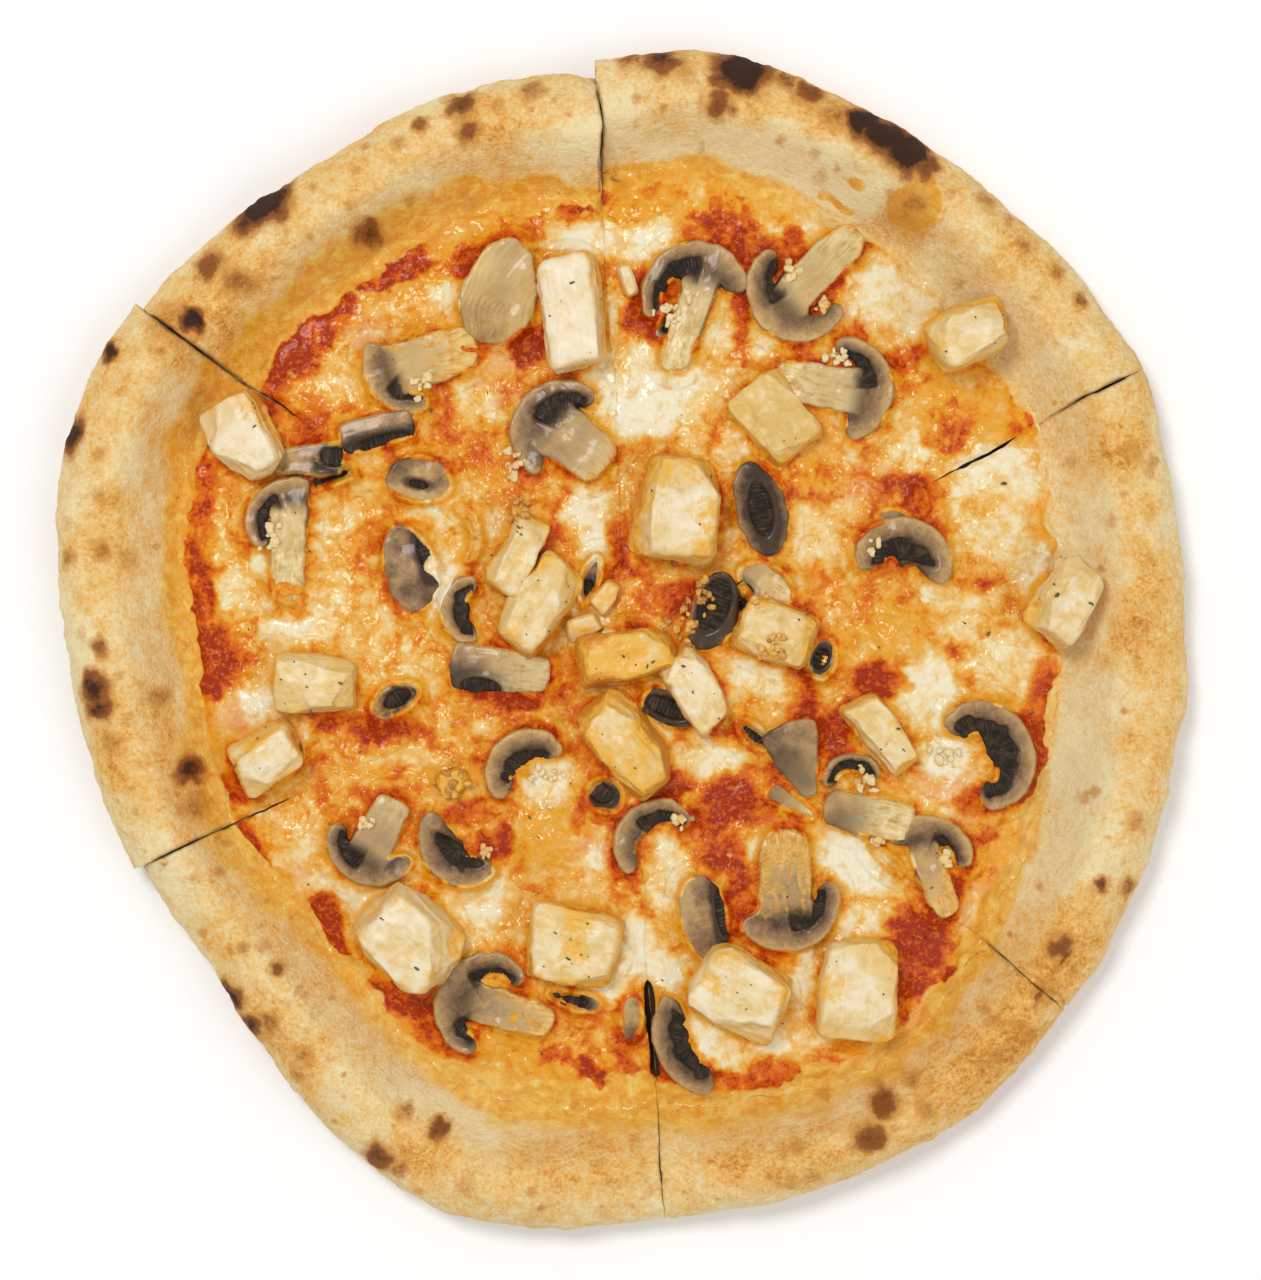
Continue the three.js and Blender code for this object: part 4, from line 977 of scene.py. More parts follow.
def crust(number):
    name, first, second, radii, widths = SLICES[number]
    columns = int(math.radians(second - first) * MEAN_RADIUS / RIM_STEP)
    share = np.linspace(0, 1, columns)[:, None]
    reach, width = along(radii, share), along(widths, share)
    crown_at = CROWN_SHARE * width
    angle = np.radians(first + (second - first) * share)
    cosine, sine = np.cos(angle), np.sin(angle)
    edge_x, edge_y = CENTRE_X + reach * cosine, CENTRE_Y + reach * sine

    # One row of points after another: from the foot up to where the rim is widest, over its crown, down its
    # inner slope and in under the cheese.
    widest = WIDEST_SHARE * (RIM_HEIGHT + rim_swell(edge_x, edge_y))
    under = np.linspace(0, math.pi / 2, UNDER_ROWS)[None, :-1]
    over = np.linspace(0, math.pi / 2, OVER_ROWS)[None, :]
    slope = np.linspace(0, 1, INNER_ROWS)[None, 1:]
    shelf = (np.linspace(0, 1, SHELF_ROWS) ** 1.3)[None, 1:]
    inward, z = [FOOT_INSET * (1 - np.sin(under)) + 0 * share], [widest * (1 - np.cos(under))]
    crown, inner = crown_at * (1 - np.cos(over)), crown_at + (width - crown_at) * slope
    for part in (crown, inner, width + (reach - width - 2) * shelf):
        inward.append(part)
        z.append(dough_top(part, width, edge_x - part * cosine, edge_y - part * sine))
    inward, z = np.hstack(inward), np.hstack(z)
    rows = inward.shape[1]
    x, y = edge_x - inward * cosine, edge_y - inward * sine

    outside = np.arange(rows)[None, :] < UNDER_ROWS - 1 + OVER_ROWS
    drop = np.where(outside, np.maximum(RIM_HEIGHT + rim_swell(x, y) - z, 0), 0)
    place = np.stack([x, y, z], -1)
    out = np.cross(np.gradient(place, axis=0), np.gradient(place, axis=1))
    out /= np.maximum(np.linalg.norm(out, axis=2, keepdims=True), 1e-9)
    out *= np.sign(out[:, UNDER_ROWS + 10 : UNDER_ROWS + 11, 2:3])
    out = np.where(outside[..., None], out, np.array([0, 0, 1.0]))

    # Spots are unrolled down the outside, or they would run down it as stripes.
    down = np.where(outside, 0.3 * drop + 0.9 * np.maximum(drop - SPOTS_UNROLL, 0), 0)
    spot_x, spot_y = x + down * cosine, y + down * sine
    dark, high = spotted(spot_x, spot_y, SPOTS)
    fine_dark, _ = spotted(spot_x, spot_y, strewn_spots())
    cracks = creased(x, y) * ramp(inward, width, width - 4)
    relief = (dough_relief(x, y, drop) + high) * smooth((width + 6 - inward) / 6) - cracks
    from_foot = np.clip(np.arange(rows) / FOOT_ROWS, 0, 1)[None, :]
    moved = place + out * (relief * from_foot)[..., None]
    moved[:, 0, 2] = 0
    moved[..., 2] = np.maximum(moved[..., 2], 0)

    # Draw the slice's sides in to the cuts, which are open at the top and closed at the foot and outer edge.
    r = np.hypot(moved[..., 0] - CENTRE_X, moved[..., 1] - CENTRE_Y)
    openness = ramp(z, 1.0, 5) * ramp(inward, 0.5, 9)
    shade = np.zeros_like(z)
    sides = ((number, first, 1, share), (number + 1, second, -1, 1 - share))
    for cut_number, ray, turned, from_cut in sides:
        gap, wander = cut_offset(cut_number, r, "rim")
        normal = np.array([-math.sin(math.radians(ray)), math.cos(math.radians(ray)), 0]) * turned
        away = r * np.sin(np.minimum(from_cut * math.radians(second - first), math.pi / 2))
        open_gap = np.maximum(gap, 0) * openness
        pull = (open_gap + turned * wander) * np.exp(-away / 5) - 0.02
        moved += normal * pull[..., None]
        moved[..., 2] -= np.minimum(0.9 * open_gap * np.exp(-away / 1.1), 0.6 * z)
        under_gap = ramp(away, 2.6, 1.7) * (r > CUTS[cut_number % 6]["open_from"] - SHADE_LEAD)
        shade = np.maximum(shade, under_gap * ramp(inward, width - 0.5, width + 1.5))
        shade = np.maximum(shade, 0.6 * ramp(open_gap, 0, 0.3) * np.exp(-((away / 0.45) ** 2)))

    toast, oil = dough_marks(x, y, inward, width, drop)
    # The spots are scorched; the cracks are painted darker as well, as painted shade in them.
    dark = np.maximum(dark, fine_dark) * (1 - 0.5 * ramp(inward, 0.75 * width, width)) + 0.5 * cracks
    grid = np.arange(columns * rows).reshape(columns, rows)
    quads = squares(grid)
    tip_low, tip_high = columns * rows, columns * rows + 1
    middle = math.radians((first + second) / 2)
    tip = np.array([CENTRE_X + TIP_INSET * math.cos(middle), CENTRE_Y + TIP_INSET * math.sin(middle), 0])
    points = np.vstack([moved.reshape(-1, 3), tip, tip + [0, 0, DOUGH_THICKNESS]])
    low, top = grid[:, 0], grid[:, -1]
    fans = [
        np.stack([low[1:], low[:-1], np.full(columns - 1, tip_low)], 1),
        np.stack([top[:-1], top[1:], np.full(columns - 1, tip_high)], 1),
    ]
    ends = [
        np.concatenate([[tip_low], grid[0], [tip_high]]),
        np.concatenate([[tip_high], grid[-1][::-1], [tip_low]]),
    ]
    faces = np.concatenate([quads.ravel(), *(fan.ravel() for fan in fans), *ends])
    sizes = [4] * len(quads) + [3] * (2 * (columns - 1)) + [len(end) for end in ends]
    kinds = [0] * (len(sizes) - 2) + [1, 1]
    slope = ramp(inward / width, 0.45, 0.62) * ramp(oil, 0.5, 0.1)
    values = {"toast": toast, "char_and_crack_shade": dark, "oil": oil, "shade": shade, "slope": slope}
    tips = [0.0, 0.0]
    attributes = {key: np.concatenate([(value + 0 * x).ravel(), tips]) for key, value in values.items()}
    bend = inward + 4 * noise(x / 22, y / 22, seed=64)
    around = STRAND_STRETCH * (angle + 0 * x) * STRAND_RADIUS
    strand = np.stack([bend, around, 0 * x], -1).reshape(-1, 3) * MM
    attributes["strand"] = np.vstack([strand, np.zeros((2, 3))])
    materials = (CRUST, CRUMB)
    piece = mesh(f"dough_{name}", points, faces, sizes, attributes, materials, kinds, len(sizes) - 2)
    stands_for(piece, "crust", f"crust_{name}")


# ---- Rows of the toppings, as the solids have them, with what colours them ----
# x, y and all lengths are in millimetres, turns in degrees from +X.


def toppings(keys, table, **shared):
    """A dict for each row: a value for each key, what all share, and the dict that some rows end with."""
    keys = keys.split()
    made = []
    for row in table:
        own = row[-1] if isinstance(row[-1], dict) else {}
        made.append({**shared, **dict(zip(keys, row)), **own})
    return made


# Slices through cap and stem. faces: where the cap's top looks, in degrees. left, right: how far round the
# cap goes, in degrees from its top. tone: how grey it is. black: the angles from the top between which gills
# show. A row's own dict adds the stem's length, width and lean, pith (how creamy the stem is), dome (the
# cap's height for its radius), thick (its flesh for its radius), stain (how orange it is) and band (how deep
# in the flesh the gills begin).
CAP_KEYS = "x y faces r left right tone black"
CAPS = toppings(CAP_KEYS, (
    (20, 92.8, 75, 14.4, 125, 64, 0.7, ((-125, -6),),
     dict(stem=21, stem_width=8, lean=-4, dome=1, pith=0.95)),
    (47.2, 94, 225, 13.8, 112, 98, 0.3, ((16, 104),),
     dict(stem=23, stem_width=10, dome=0.95, pith=0.6, stain=0.3, band=0.72)),
    (60, 67.4, 348, 13.8, 110, 66, 0.5, ((-110, -16),),
     dict(stem=19, stem_width=11, lean=2, dome=0.92, pith=0.8, stain=0.3)),
    (-16, 56, 160, 13.8, 74, 108, 0.9, ((6, 108),),
     dict(stem=15, stem_width=14, lean=-20, dome=1, pith=0.35, stain=0.35)),
    (-58.6, 73.5, 203, 12.5, 98, 50, 0.35, ((-98, -22),),
     dict(stem=20, stem_width=12.5, lean=-5, pith=0.5, stain=0.8, band=0.55)),
    (-89.6, 33, 112, 11.8, 115, 45, 0.45, ((-115, -6),),
     dict(stem=23, stem_width=8.5, lean=-24, pith=1.0)),
    (75.9, 21.6, 75, 13, 118, 108, 0.6, ((-118, 88),), dict(thick=0.98, band=0.46)),
    (98, -31, 25, 14.8, 120, 120, 0.7, ((-120, 120),), dict(thick=0.78, band=0.42)),
    (-26, -34.4, 130, 11.2, 100, 106, 0.3, ((-90, 106),), dict(thick=0.8, band=0.62)),
    (-67.5, -55.4, 250, 12, 88, 100, 0.9, ((10, 100),),
     dict(stem=14, stem_width=10, lean=-8, pith=0.4, stain=0.2)),
    (-43.6, -54.8, 215, 12.2, 108, 80, 0.8, ((-108, 60),), dict(thick=0.9, band=0.5)),
    (9, -53.8, 130, 11.7, 100, 104, 0.6, ((-10, 104),), dict(stain=0.5, band=0.5)),
    (44, -70.4, 270, 14.4, 110, 60, 0.75, ((-110, -12),),
     dict(stem=19, stem_width=13.5, dome=0.92, pith=0.25, stain=0.9, band=0.6)),
    (-37.4, -98, 150, 14, 106, 118, 0.8, ((28, 118), (-106, -60)),
     dict(stem=19, stem_width=9.5, lean=14, dome=0.9, pith=0.3, stain=0.6, band=0.6)),
    (81.8, -58, 85, 12.3, 62, 98, 0.4, ((14, 98),),
     dict(stem=17, stem_width=7.5, lean=26, pith=0.3, stain=0.6, band=0.72)),
    (-41, 8.1, 180, 8.8, 100, 100, 0.3, ((-100, 100),), dict(thick=0.8, band=0.4)),
    (62, -37.4, 100, 7.6, 90, 92, 0.8, ((-90, 92),), dict(band=0.35)),
    (22.6, -107, 205, 16, 64, 66, 0.8, ((-66, 64),), dict(band=0.55)),
), kind="cap")
# Pieces without a cap's form. wide: for a strip, at its two ends. gills: an ellipse in shares of the piece's
# own half sizes: middle along and across, half length, half width. stem: how pale it is. disc: it shows fine
# arcs instead of gills.
FLAT_KEYS = "kind x y turn long wide tone gills"
FLATS = toppings(FLAT_KEYS, (
    ("oval", -33, 93.4, 76, 27, 20.5, 0.0, None, dict(disc=1, stem=0.25, stain=0.25)),
    ("oval", 37.3, 35.2, 101, 25, 12.8, 0.7, (0, 0, 0.62, 0.5)),
    ("oval", -57.2, 19.4, 102, 24, 13, 1.0, (0.3, -0.75, 0.5, 0.3)),
    ("oval", 12.6, -18.4, -22, 15, 8.6, 0.7, (-0.1, 0, 0.85, 0.6)),
    ("oval", 22.2, -75, 98, 24, 11.6, 0.8, (0.1, -0.9, 0.6, 0.35)),
    ("oval", 24.6, 7.4, 70, 20, 13, 0.7, (0.2, 0.1, 0.8, 0.7)),
    ("strip", -66, 56.2, 14, 19.5, (8.5, 7.5), 1.0, (0.1, -0.8, 0.9, 0.55)),
    ("strip", -84.8, 48.4, 4, 19, (6, 9), 0.8, (0.8, 0.1, 0.45, 0.6), dict(stain=0.45)),
    ("strip", 47.4, -32.4, 288, 20, (16, 4), 0.9, None, dict(stem=0.1)),
    ("strip", 66.6, -47.4, 348, 23.5, (9.6, 10.6), 0.3, None, dict(stem=0.6)),
    ("strip", -33, -8.2, 354, 26, (13, 9), 0.9, (-0.35, -0.8, 0.45, 0.45), dict(stem=0.4)),
))
# Scraps of mushroom that the solids leave out
SCRAPS = toppings(FLAT_KEYS, (
    ("oval", -54.5, 43.2, 168, 18, 12, 0.4, (0, 0.2, 0.3, 0.2)),
    ("oval", -61.3, -16.2, 30, 14, 9, 0.8, (0.1, 0, 0.6, 0.5), dict(stain=0.5)),
    ("strip", 46, -44, 328, 14, (6, 2.4), 0.3, None, dict(stem=0.5, stain=0.4)),
    ("oval", -4.6, -41.9, 330, 11, 9, 0.9, (-0.2, 0, 0.6, 0.6)),
    ("oval", -8.6, 16.2, 250, 13, 5.5, 1.0, (0.4, 0, 0.4, 0.6)),
    ("oval", 38.8, 15.2, 330, 17, 9.5, 0.2, (-0.55, -0.9, 0.4, 0.4), dict(stem=0.7)),
    ("oval", 53.8, -5.0, 70, 12, 8, 0.8, (0, 0, 0.5, 0.5)),
)) + toppings(CAP_KEYS, (
    (-46, 28.4, 20, 9, 50, 72, 0.5, (), dict(thick=0.24)),
), kind="cap") + toppings(FLAT_KEYS, (
    ("oval", 71.8, -59.2, 318, 11, 2.6, 0.6, (0, 0, 1.2, 1.2)),
    ("oval", -12.7, -97.2, 346, 14, 5.4, 1.0, (-0.1, 0, 0.6, 0.6)),
    ("oval", 2.6, -102, 85, 12, 5.6, 0.7, None),
    ("oval", 12.2, 85, 60, 8, 5.4, 0.9, (0, 0, 0.5, 0.5)),
    ("oval", 73, 33.6, 4, 9, 3.4, 1.0, None),
    ("oval", 81, 37.6, 100, 7, 2.6, 0.7, (0, 0, 0.8, 0.8)),
    ("strip", -78, 44, 20, 13, (4, 5), 0.9, (0, 0, 0.9, 0.8)),
    ("oval", 35.6, -25.6, 318, 12, 5.4, 0.9, (0, 0, 0.8, 0.7)),
    ("oval", 33, 9, 300, 12, 5, 0.9, (0.2, 0, 0.6, 0.6)),
    ("oval", 26.6, 12.8, 345, 12, 4.6, 0.4, (0.6, 0.2, 0.4, 0.8), dict(stem=0.5)),
    ("oval", -43, -108, 330, 9, 4, 0.8, (0, 0, 0.7, 0.8)),
))
# Chunks of chicken. narrow, top: how much smaller they are at the far end and at the top. tip: how many
# degrees they are tipped over. stain: how orange, pale: how white they are.
CHUNKS = toppings("x y turn long wide high narrow top tip stain pale", (
    (-101.8, 54.5, 300, 24, 18, 12, 0.2, 0.12, 9, 0.0, 0.95),
    (-13.3, 88.3, 277, 30, 15.6, 12, 0.05, 0.1, 7, -0.1, 0.9),
    (92.6, 81.6, 22, 21, 16, 11, 0.1, 0.25, 4, 0.1, 0.65),
    (41.3, 60.2, 308, 24, 17, 7, 0.1, 0.08, 0, 0.0, 0.25),
    (15.4, 34.6, 80, 26, 24, 14, 0.2, 0.18, 5, 0.25, 0.7),
    (-27.8, 23.2, 62, 23, 11.6, 11, 0.25, 0.1, 4, 0.2, 0.65),
    (-22.6, 9.6, 54, 27, 15, 11, 0.1, 0.12, -4, 0.2, 0.6),
    (-82.4, -11.6, 357, 23, 17, 9, 0.25, 0.1, 0, -0.1, 0.5),
    (-95, -31.6, 30, 20, 15, 12, 0.1, 0.15, 10, 0.1, 0.7),
    (1.2, -4.2, 8, 24, 15, 9, 0.2, 0.2, 0, 0.55, 0.4),
    (19.6, -13.4, 302, 22, 12.6, 8, 0.15, 0.1, 0, -0.1, 0.55),
    (1.4, -28.2, 308, 26.5, 18, 12, 0.2, 0.2, 6, 0.45, 0.45),
    (41.4, 2.2, 340, 23.5, 16.5, 10, 0.1, 0.2, 0, 0.2, 0.5),
    (70.2, -25.6, 305, 23, 12, 8, 0.25, 0.15, 0, 0.1, 0.55),
    (119, 10.6, 56, 21, 16, 9, 0.2, 0.15, 14, -0.15, 0.55),
    (-56.7, -81, 318, 29, 24, 15, 0.12, 0.22, 6, -0.1, 0.7),
    (-13.5, -82.4, 350, 22.5, 21, 9, 0.1, 0.12, 0, 0.25, 0.55),
    (32, -95.4, 330, 25, 21, 11, 0.1, 0.15, 5, 0.05, 0.7),
    (63.6, -94, 86, 24.5, 21, 8, 0.1, 0.1, 0, 0.0, 0.6),
), kind="chunk")
# Scraps of chicken that the solids leave out
BITS = toppings("x y turn long wide high stain pale", (
    (-10.5, 3.5, 20, 9, 6.5, 6, 0.3, 0.6), (-4.6, -0.5, 60, 8, 6, 5, 0.45, 0.5),
    (-4.5, 12, 50, 9, 6, 5, 0.3, 0.5), (1.5, 97, 110, 9, 4, 5, 0.3, 0.6),
    (-46, -38.5, 20, 9, 8, 5, 0.8, 0.3), (-74, -9, 40, 5, 4, 4, 0.5, 0.4),
    (31, 62, 70, 6, 4, 4, 0.7, 0.3), (-27.5, 33.5, 100, 7, 6, 8, 0.75, 0.5),
    (-113, -57, 60, 11, 6, 5, -0.1, 0.3),
), narrow=0.2, top=0.2, tip=8)

# ---- Outlines ----


def on_arc(row, a, inset):
    r, high = row["r"], row.get("dome", 0.86) * row["r"]
    return ((r - inset) * math.sin(a), (high - inset) * math.cos(a))


def flesh(row, a):
    """Thickness of a cap's flesh and gills at an angle from its top."""
    return row["r"] * row.get("thick", 0.56) * (1 - 0.43 * min(1, abs(a) / math.radians(110)) ** 1.5)


def cap_outline(row):
    """The outline of a mushroom cut through cap and stem, with the cap's top towards +Y, anticlockwise."""
    stem, half = row.get("stem", 0), row.get("stem_width", 0) / 2
    high = row.get("dome", 0.86) * row["r"]
    joint = math.asin(min(1, half / (row["r"] - flesh(row, 0)))) if stem else math.radians(6)
    left, right = -math.radians(row["left"]), math.radians(row["right"])
    tip = math.radians(7)
    points = [on_arc(row, right + (left - right) * k / 14, 0) for k in range(15)]
    points.append(on_arc(row, left - tip, flesh(row, left) / 2))
    if -left > joint:
        for k in range(5):
            a = left + (-joint - left) * k / 5
            points.append(on_arc(row, a, flesh(row, a)))
    if stem:
        lean = math.radians(row.get("lean", 0))
        down, across = (math.sin(lean), -math.cos(lean)), (math.cos(lean), math.sin(lean))
        top = -(high - flesh(row, 0)) * 0.45
        corners = ((-1, top), (-0.95, stem * 0.8), (-0.6, stem), (0.6, stem), (0.95, stem * 0.8), (1, top))
        for side, length in corners:
            reach = side * half
            points.append((down[0] * length + across[0] * reach, down[1] * length + across[1] * reach))
    else:
        points.append(on_arc(row, 0, flesh(row, 0)))
    if right > joint:
        for k in range(4, -1, -1):
            a = right + (joint - right) * k / 5
            points.append(on_arc(row, a, flesh(row, a)))
    points.append(on_arc(row, right + tip, flesh(row, right) / 2))
    return points


def oval_outline(row):
    points = []
    for k in range(28):
        a = 2 * math.pi * k / 28
        uneven = 1 + 0.05 * math.sin(2 * a + row["long"]) + 0.04 * math.sin(3 * a + row["wide"])
        points.append((row["long"] / 2 * math.cos(a) * uneven, row["wide"] / 2 * math.sin(a) * uneven))
    return points


def strip_outline(row):
    corner = 0.16
    points = []
    for end, side in ((-1, -1), (1, -1), (1, 1), (-1, 1)):
        wide = row["wide"][(end + 1) // 2]
        along_it = (end * (row["long"] / 2 - corner * wide), side * wide / 2)
        across_it = (end * row["long"] / 2, side * (0.5 - corner) * wide)
        points += [across_it, along_it] if end * side > 0 else [along_it, across_it]
    return points


def skew_of(row, sx, sy):
    return 0.06 * row["long"] * math.sin(row["long"] + row["wide"] * sy + 2 * sx) * sy


def chunk_outline(row):
    """The plan of a chicken chunk, seen from above, before it is turned."""
    points = []
    for sx, sy in ((-1, -1), (1, -1), (1, 1), (-1, 1)):
        wide = row["wide"] / 2 * (1 - row["narrow"] if sx > 0 else 1)
        points.append((sx * row["long"] / 2 + skew_of(row, sx, sy), sy * wide))
    return points


def rounded(points, times=2):
    """The outline with its corners cut off, over and over, until it is smooth."""
    points = np.array(points, float)
    for _ in range(times):
        after = np.roll(points, -1, axis=0)
        points = np.stack([0.75 * points + 0.25 * after, 0.25 * points + 0.75 * after], 1).reshape(-1, 2)
    return points


def outline_distance(x, y, outline):
    """Signed distance to a closed outline, positive inside."""
    best = np.full(x.shape, 1e9)
    inside = np.zeros(x.shape, bool)
    for (ax, ay), (bx, by) in zip(outline, np.roll(outline, -1, axis=0)):
        ex, ey = bx - ax, by - ay
        t = np.clip(((x - ax) * ex + (y - ay) * ey) / max(ex * ex + ey * ey, 1e-12), 0, 1)
        best = np.minimum(best, (x - ax - t * ex) ** 2 + (y - ay - t * ey) ** 2)
        if ay != by:
            inside ^= ((ay > y) != (by > y)) & (x < ax + (y - ay) / (by - ay) * ex)
    return np.where(inside, 1, -1) * np.sqrt(best)


def local(row, x, y):
    """A point of the pizza in a topping's own plane."""
    turn = math.radians(row["turn"])
    dx, dy = x - row["x"], y - row["y"]
    return dx * math.cos(turn) + dy * math.sin(turn), dy * math.cos(turn) - dx * math.sin(turn)


OUTLINES = {"cap": cap_outline, "oval": oval_outline, "strip": strip_outline, "chunk": chunk_outline}


def with_outline(row):
    made = dict(row)
    made.setdefault("turn", row.get("faces", 90) - 90)
    made["outline"] = rounded(OUTLINES[row["kind"]](row), 3 if row["kind"] == "chunk" else 2)
    return made


SLICED = [with_outline(row) for row in CAPS + FLATS]
DICED = [with_outline(row) for row in CHUNKS]
TORN = [with_outline(row) for row in SCRAPS]
FAR_OFF = 5.0  # beyond this distance a topping does nothing to the cheese


def nearest_topping(x, y):
    """Distance from each point out to the nearest topping, negative under it, and at most FAR_OFF."""
    away = np.full(x.shape, FAR_OFF)
    for row in SLICED + DICED + TORN:
        size = np.abs(row["outline"]).max() * 1.5 + FAR_OFF
        near = (np.abs(x - row["x"]) < size) & (np.abs(y - row["y"]) < size)
        if near.any():
            u, v = local(row, x[near], y[near])
            away[near] = np.minimum(away[near], -outline_distance(u, v, row["outline"]))
    return away


# ---- Cheese ----

CHEESE_STEP = 0.4  # between points
CHEESE_REACH = 135  # from where the cuts meet
CREEP = 2.4  # how far up the rim the cheese's edge lies
FILM = 0.06  # the least that it stands over the dough


def cheese(number):
    name, first, second = SLICES[number][:3]

    def from_edge(x, y, inward, width):
        """How far in a point is from the cheese's ragged outer edge, which lies a little way up the rim."""
        ragged = inward - width + CREEP + 2.0 * noise(x / 6.5, y / 6.5, seed=51)
        return ragged + 0.8 * noise(x / 2.1, y / 2.1, seed=52)

    def distance(x, y):
        _, inward, width = place_in(SLICES[number], x, y)
        return np.minimum(from_edge(x, y, inward, width), inside_cuts(number, x, y))

    angles = np.radians(np.linspace(first, second, 30))
    xs = np.append(CENTRE_X + CHEESE_REACH * np.cos(angles), CENTRE_X)
    ys = np.append(CENTRE_Y + CHEESE_REACH * np.sin(angles), CENTRE_Y)
    box = xs.min() - 3, ys.min() - 3, xs.max() + 3, ys.max() + 3
    x, y, quads, triangles = snapped_grid(*box, CHEESE_STEP, distance)

    _, inward, width = place_in(SLICES[number], x, y)
    share = cheese_share(x, y)
    from_foot = inward - width
    edge = from_edge(x, y, inward, width)
    z = cheese_top(x, y, np.maximum(from_foot, 0), share)
    dough = dough_top(inward, width, x, y) + dough_relief(x, y, 0 * x) * smooth((width + 6 - inward) / 6)
    z = dough + FILM + np.maximum(z - dough - FILM, 0.5) * smooth(edge / 5)

    # It rolls over at open cuts, rises against toppings and has run over the edges of some.
    r = np.hypot(x - CENTRE_X, y - CENTRE_Y)
    shade = np.zeros_like(z)
    for cut_number in (number, number + 1):
        open_from = CUTS[cut_number % 6]["open_from"]
        opening = ramp(r, open_from - 4, open_from + 5)
        beside, _ = beside_cut(cut_number, x, y)
        z -= 1.2 * opening * (1 - smooth(np.abs(beside) / 2.2)) * smooth(edge / 5)
        z -= 0.04 * (1 - smooth(np.abs(beside) / 0.8))
        shade = np.maximum(shade, opening * (np.abs(beside) < 3))
    away = nearest_topping(x, y)
    close_by = away < FAR_OFF - 0.1
    beside_topping = np.where(close_by, np.exp(-np.maximum(away - 0.4, 0) / 2.3), 0) * ramp(away, -2.2, 0)
    lap = 2.4 + 1.8 * ramp(fbm(x / 6, y / 6, octaves=2, seed=55), 0.0, 0.42)
    wx, wy = x + 3 * noise(x / 5, y / 5, seed=53), y + 3 * noise(x / 5, y / 5, seed=54)
    cover = ramp(away, 2.6, -0.2) * blotched(wx, wy, COVERS)
    z += np.maximum(lap * beside_topping * ramp(from_foot, -1, 3), 4.1 * cover)

    ring = np.where(close_by, np.exp(-np.abs(away - 0.9) / 1.1), 0)
    share = share - 0.26 * ring * ramp(cover, 0.5, 0)
    toast, oil = dough_marks(x, y, inward, width, 0 * x)
    near_rim = ramp(edge, 13, 2) * np.interp(degrees_at(x, y), OIL_ANGLES, OIL_DEPTH)
    bare = np.interp(degrees_at(x, y), OIL_ANGLES, FILM_REACH)
    values = {
        "cheese": share - 0.12 * near_rim,
        "yellow": 0.26 + 0.7 * blotched(wx, wy, AMBER) + 0.7 * ring + 0.4 * near_rim,
        "pink": 0.22 + 0.45 * blotched(wx, wy, PINK),
        "film": ramp(edge, bare, 0.4 * bare) - 1.1 * blotched(wx, wy, RED) * ramp(edge, 1, 5),
        "toast": toast,
        "oil": oil,
    }
    points = np.stack([x, y, z], -1)
    points, faces, sizes, rim = closed_from_top(points, quads, triangles, DOUGH_THICKNESS + CLEARANCE)
    attributes = {key: np.concatenate([value, value[rim]]) for key, value in values.items()}
    attributes["shade"] = np.concatenate([0 * x, shade[rim]])
    top_faces = len(quads) + len(triangles)
    piece = mesh(f"topping_{name}", points, faces, sizes, attributes, (CHEESE,), None, top_faces)
    stands_for(piece, "cheese", f"cheese_{name}")


# ---- Mushrooms ----

MUSHROOM_STEP = 0.3  # between points
MUSHROOM_GROWN = 0.5  # by which a slice is larger all round than its solid
EDGE_ROUNDING = 0.9
THINNEST = 0.8


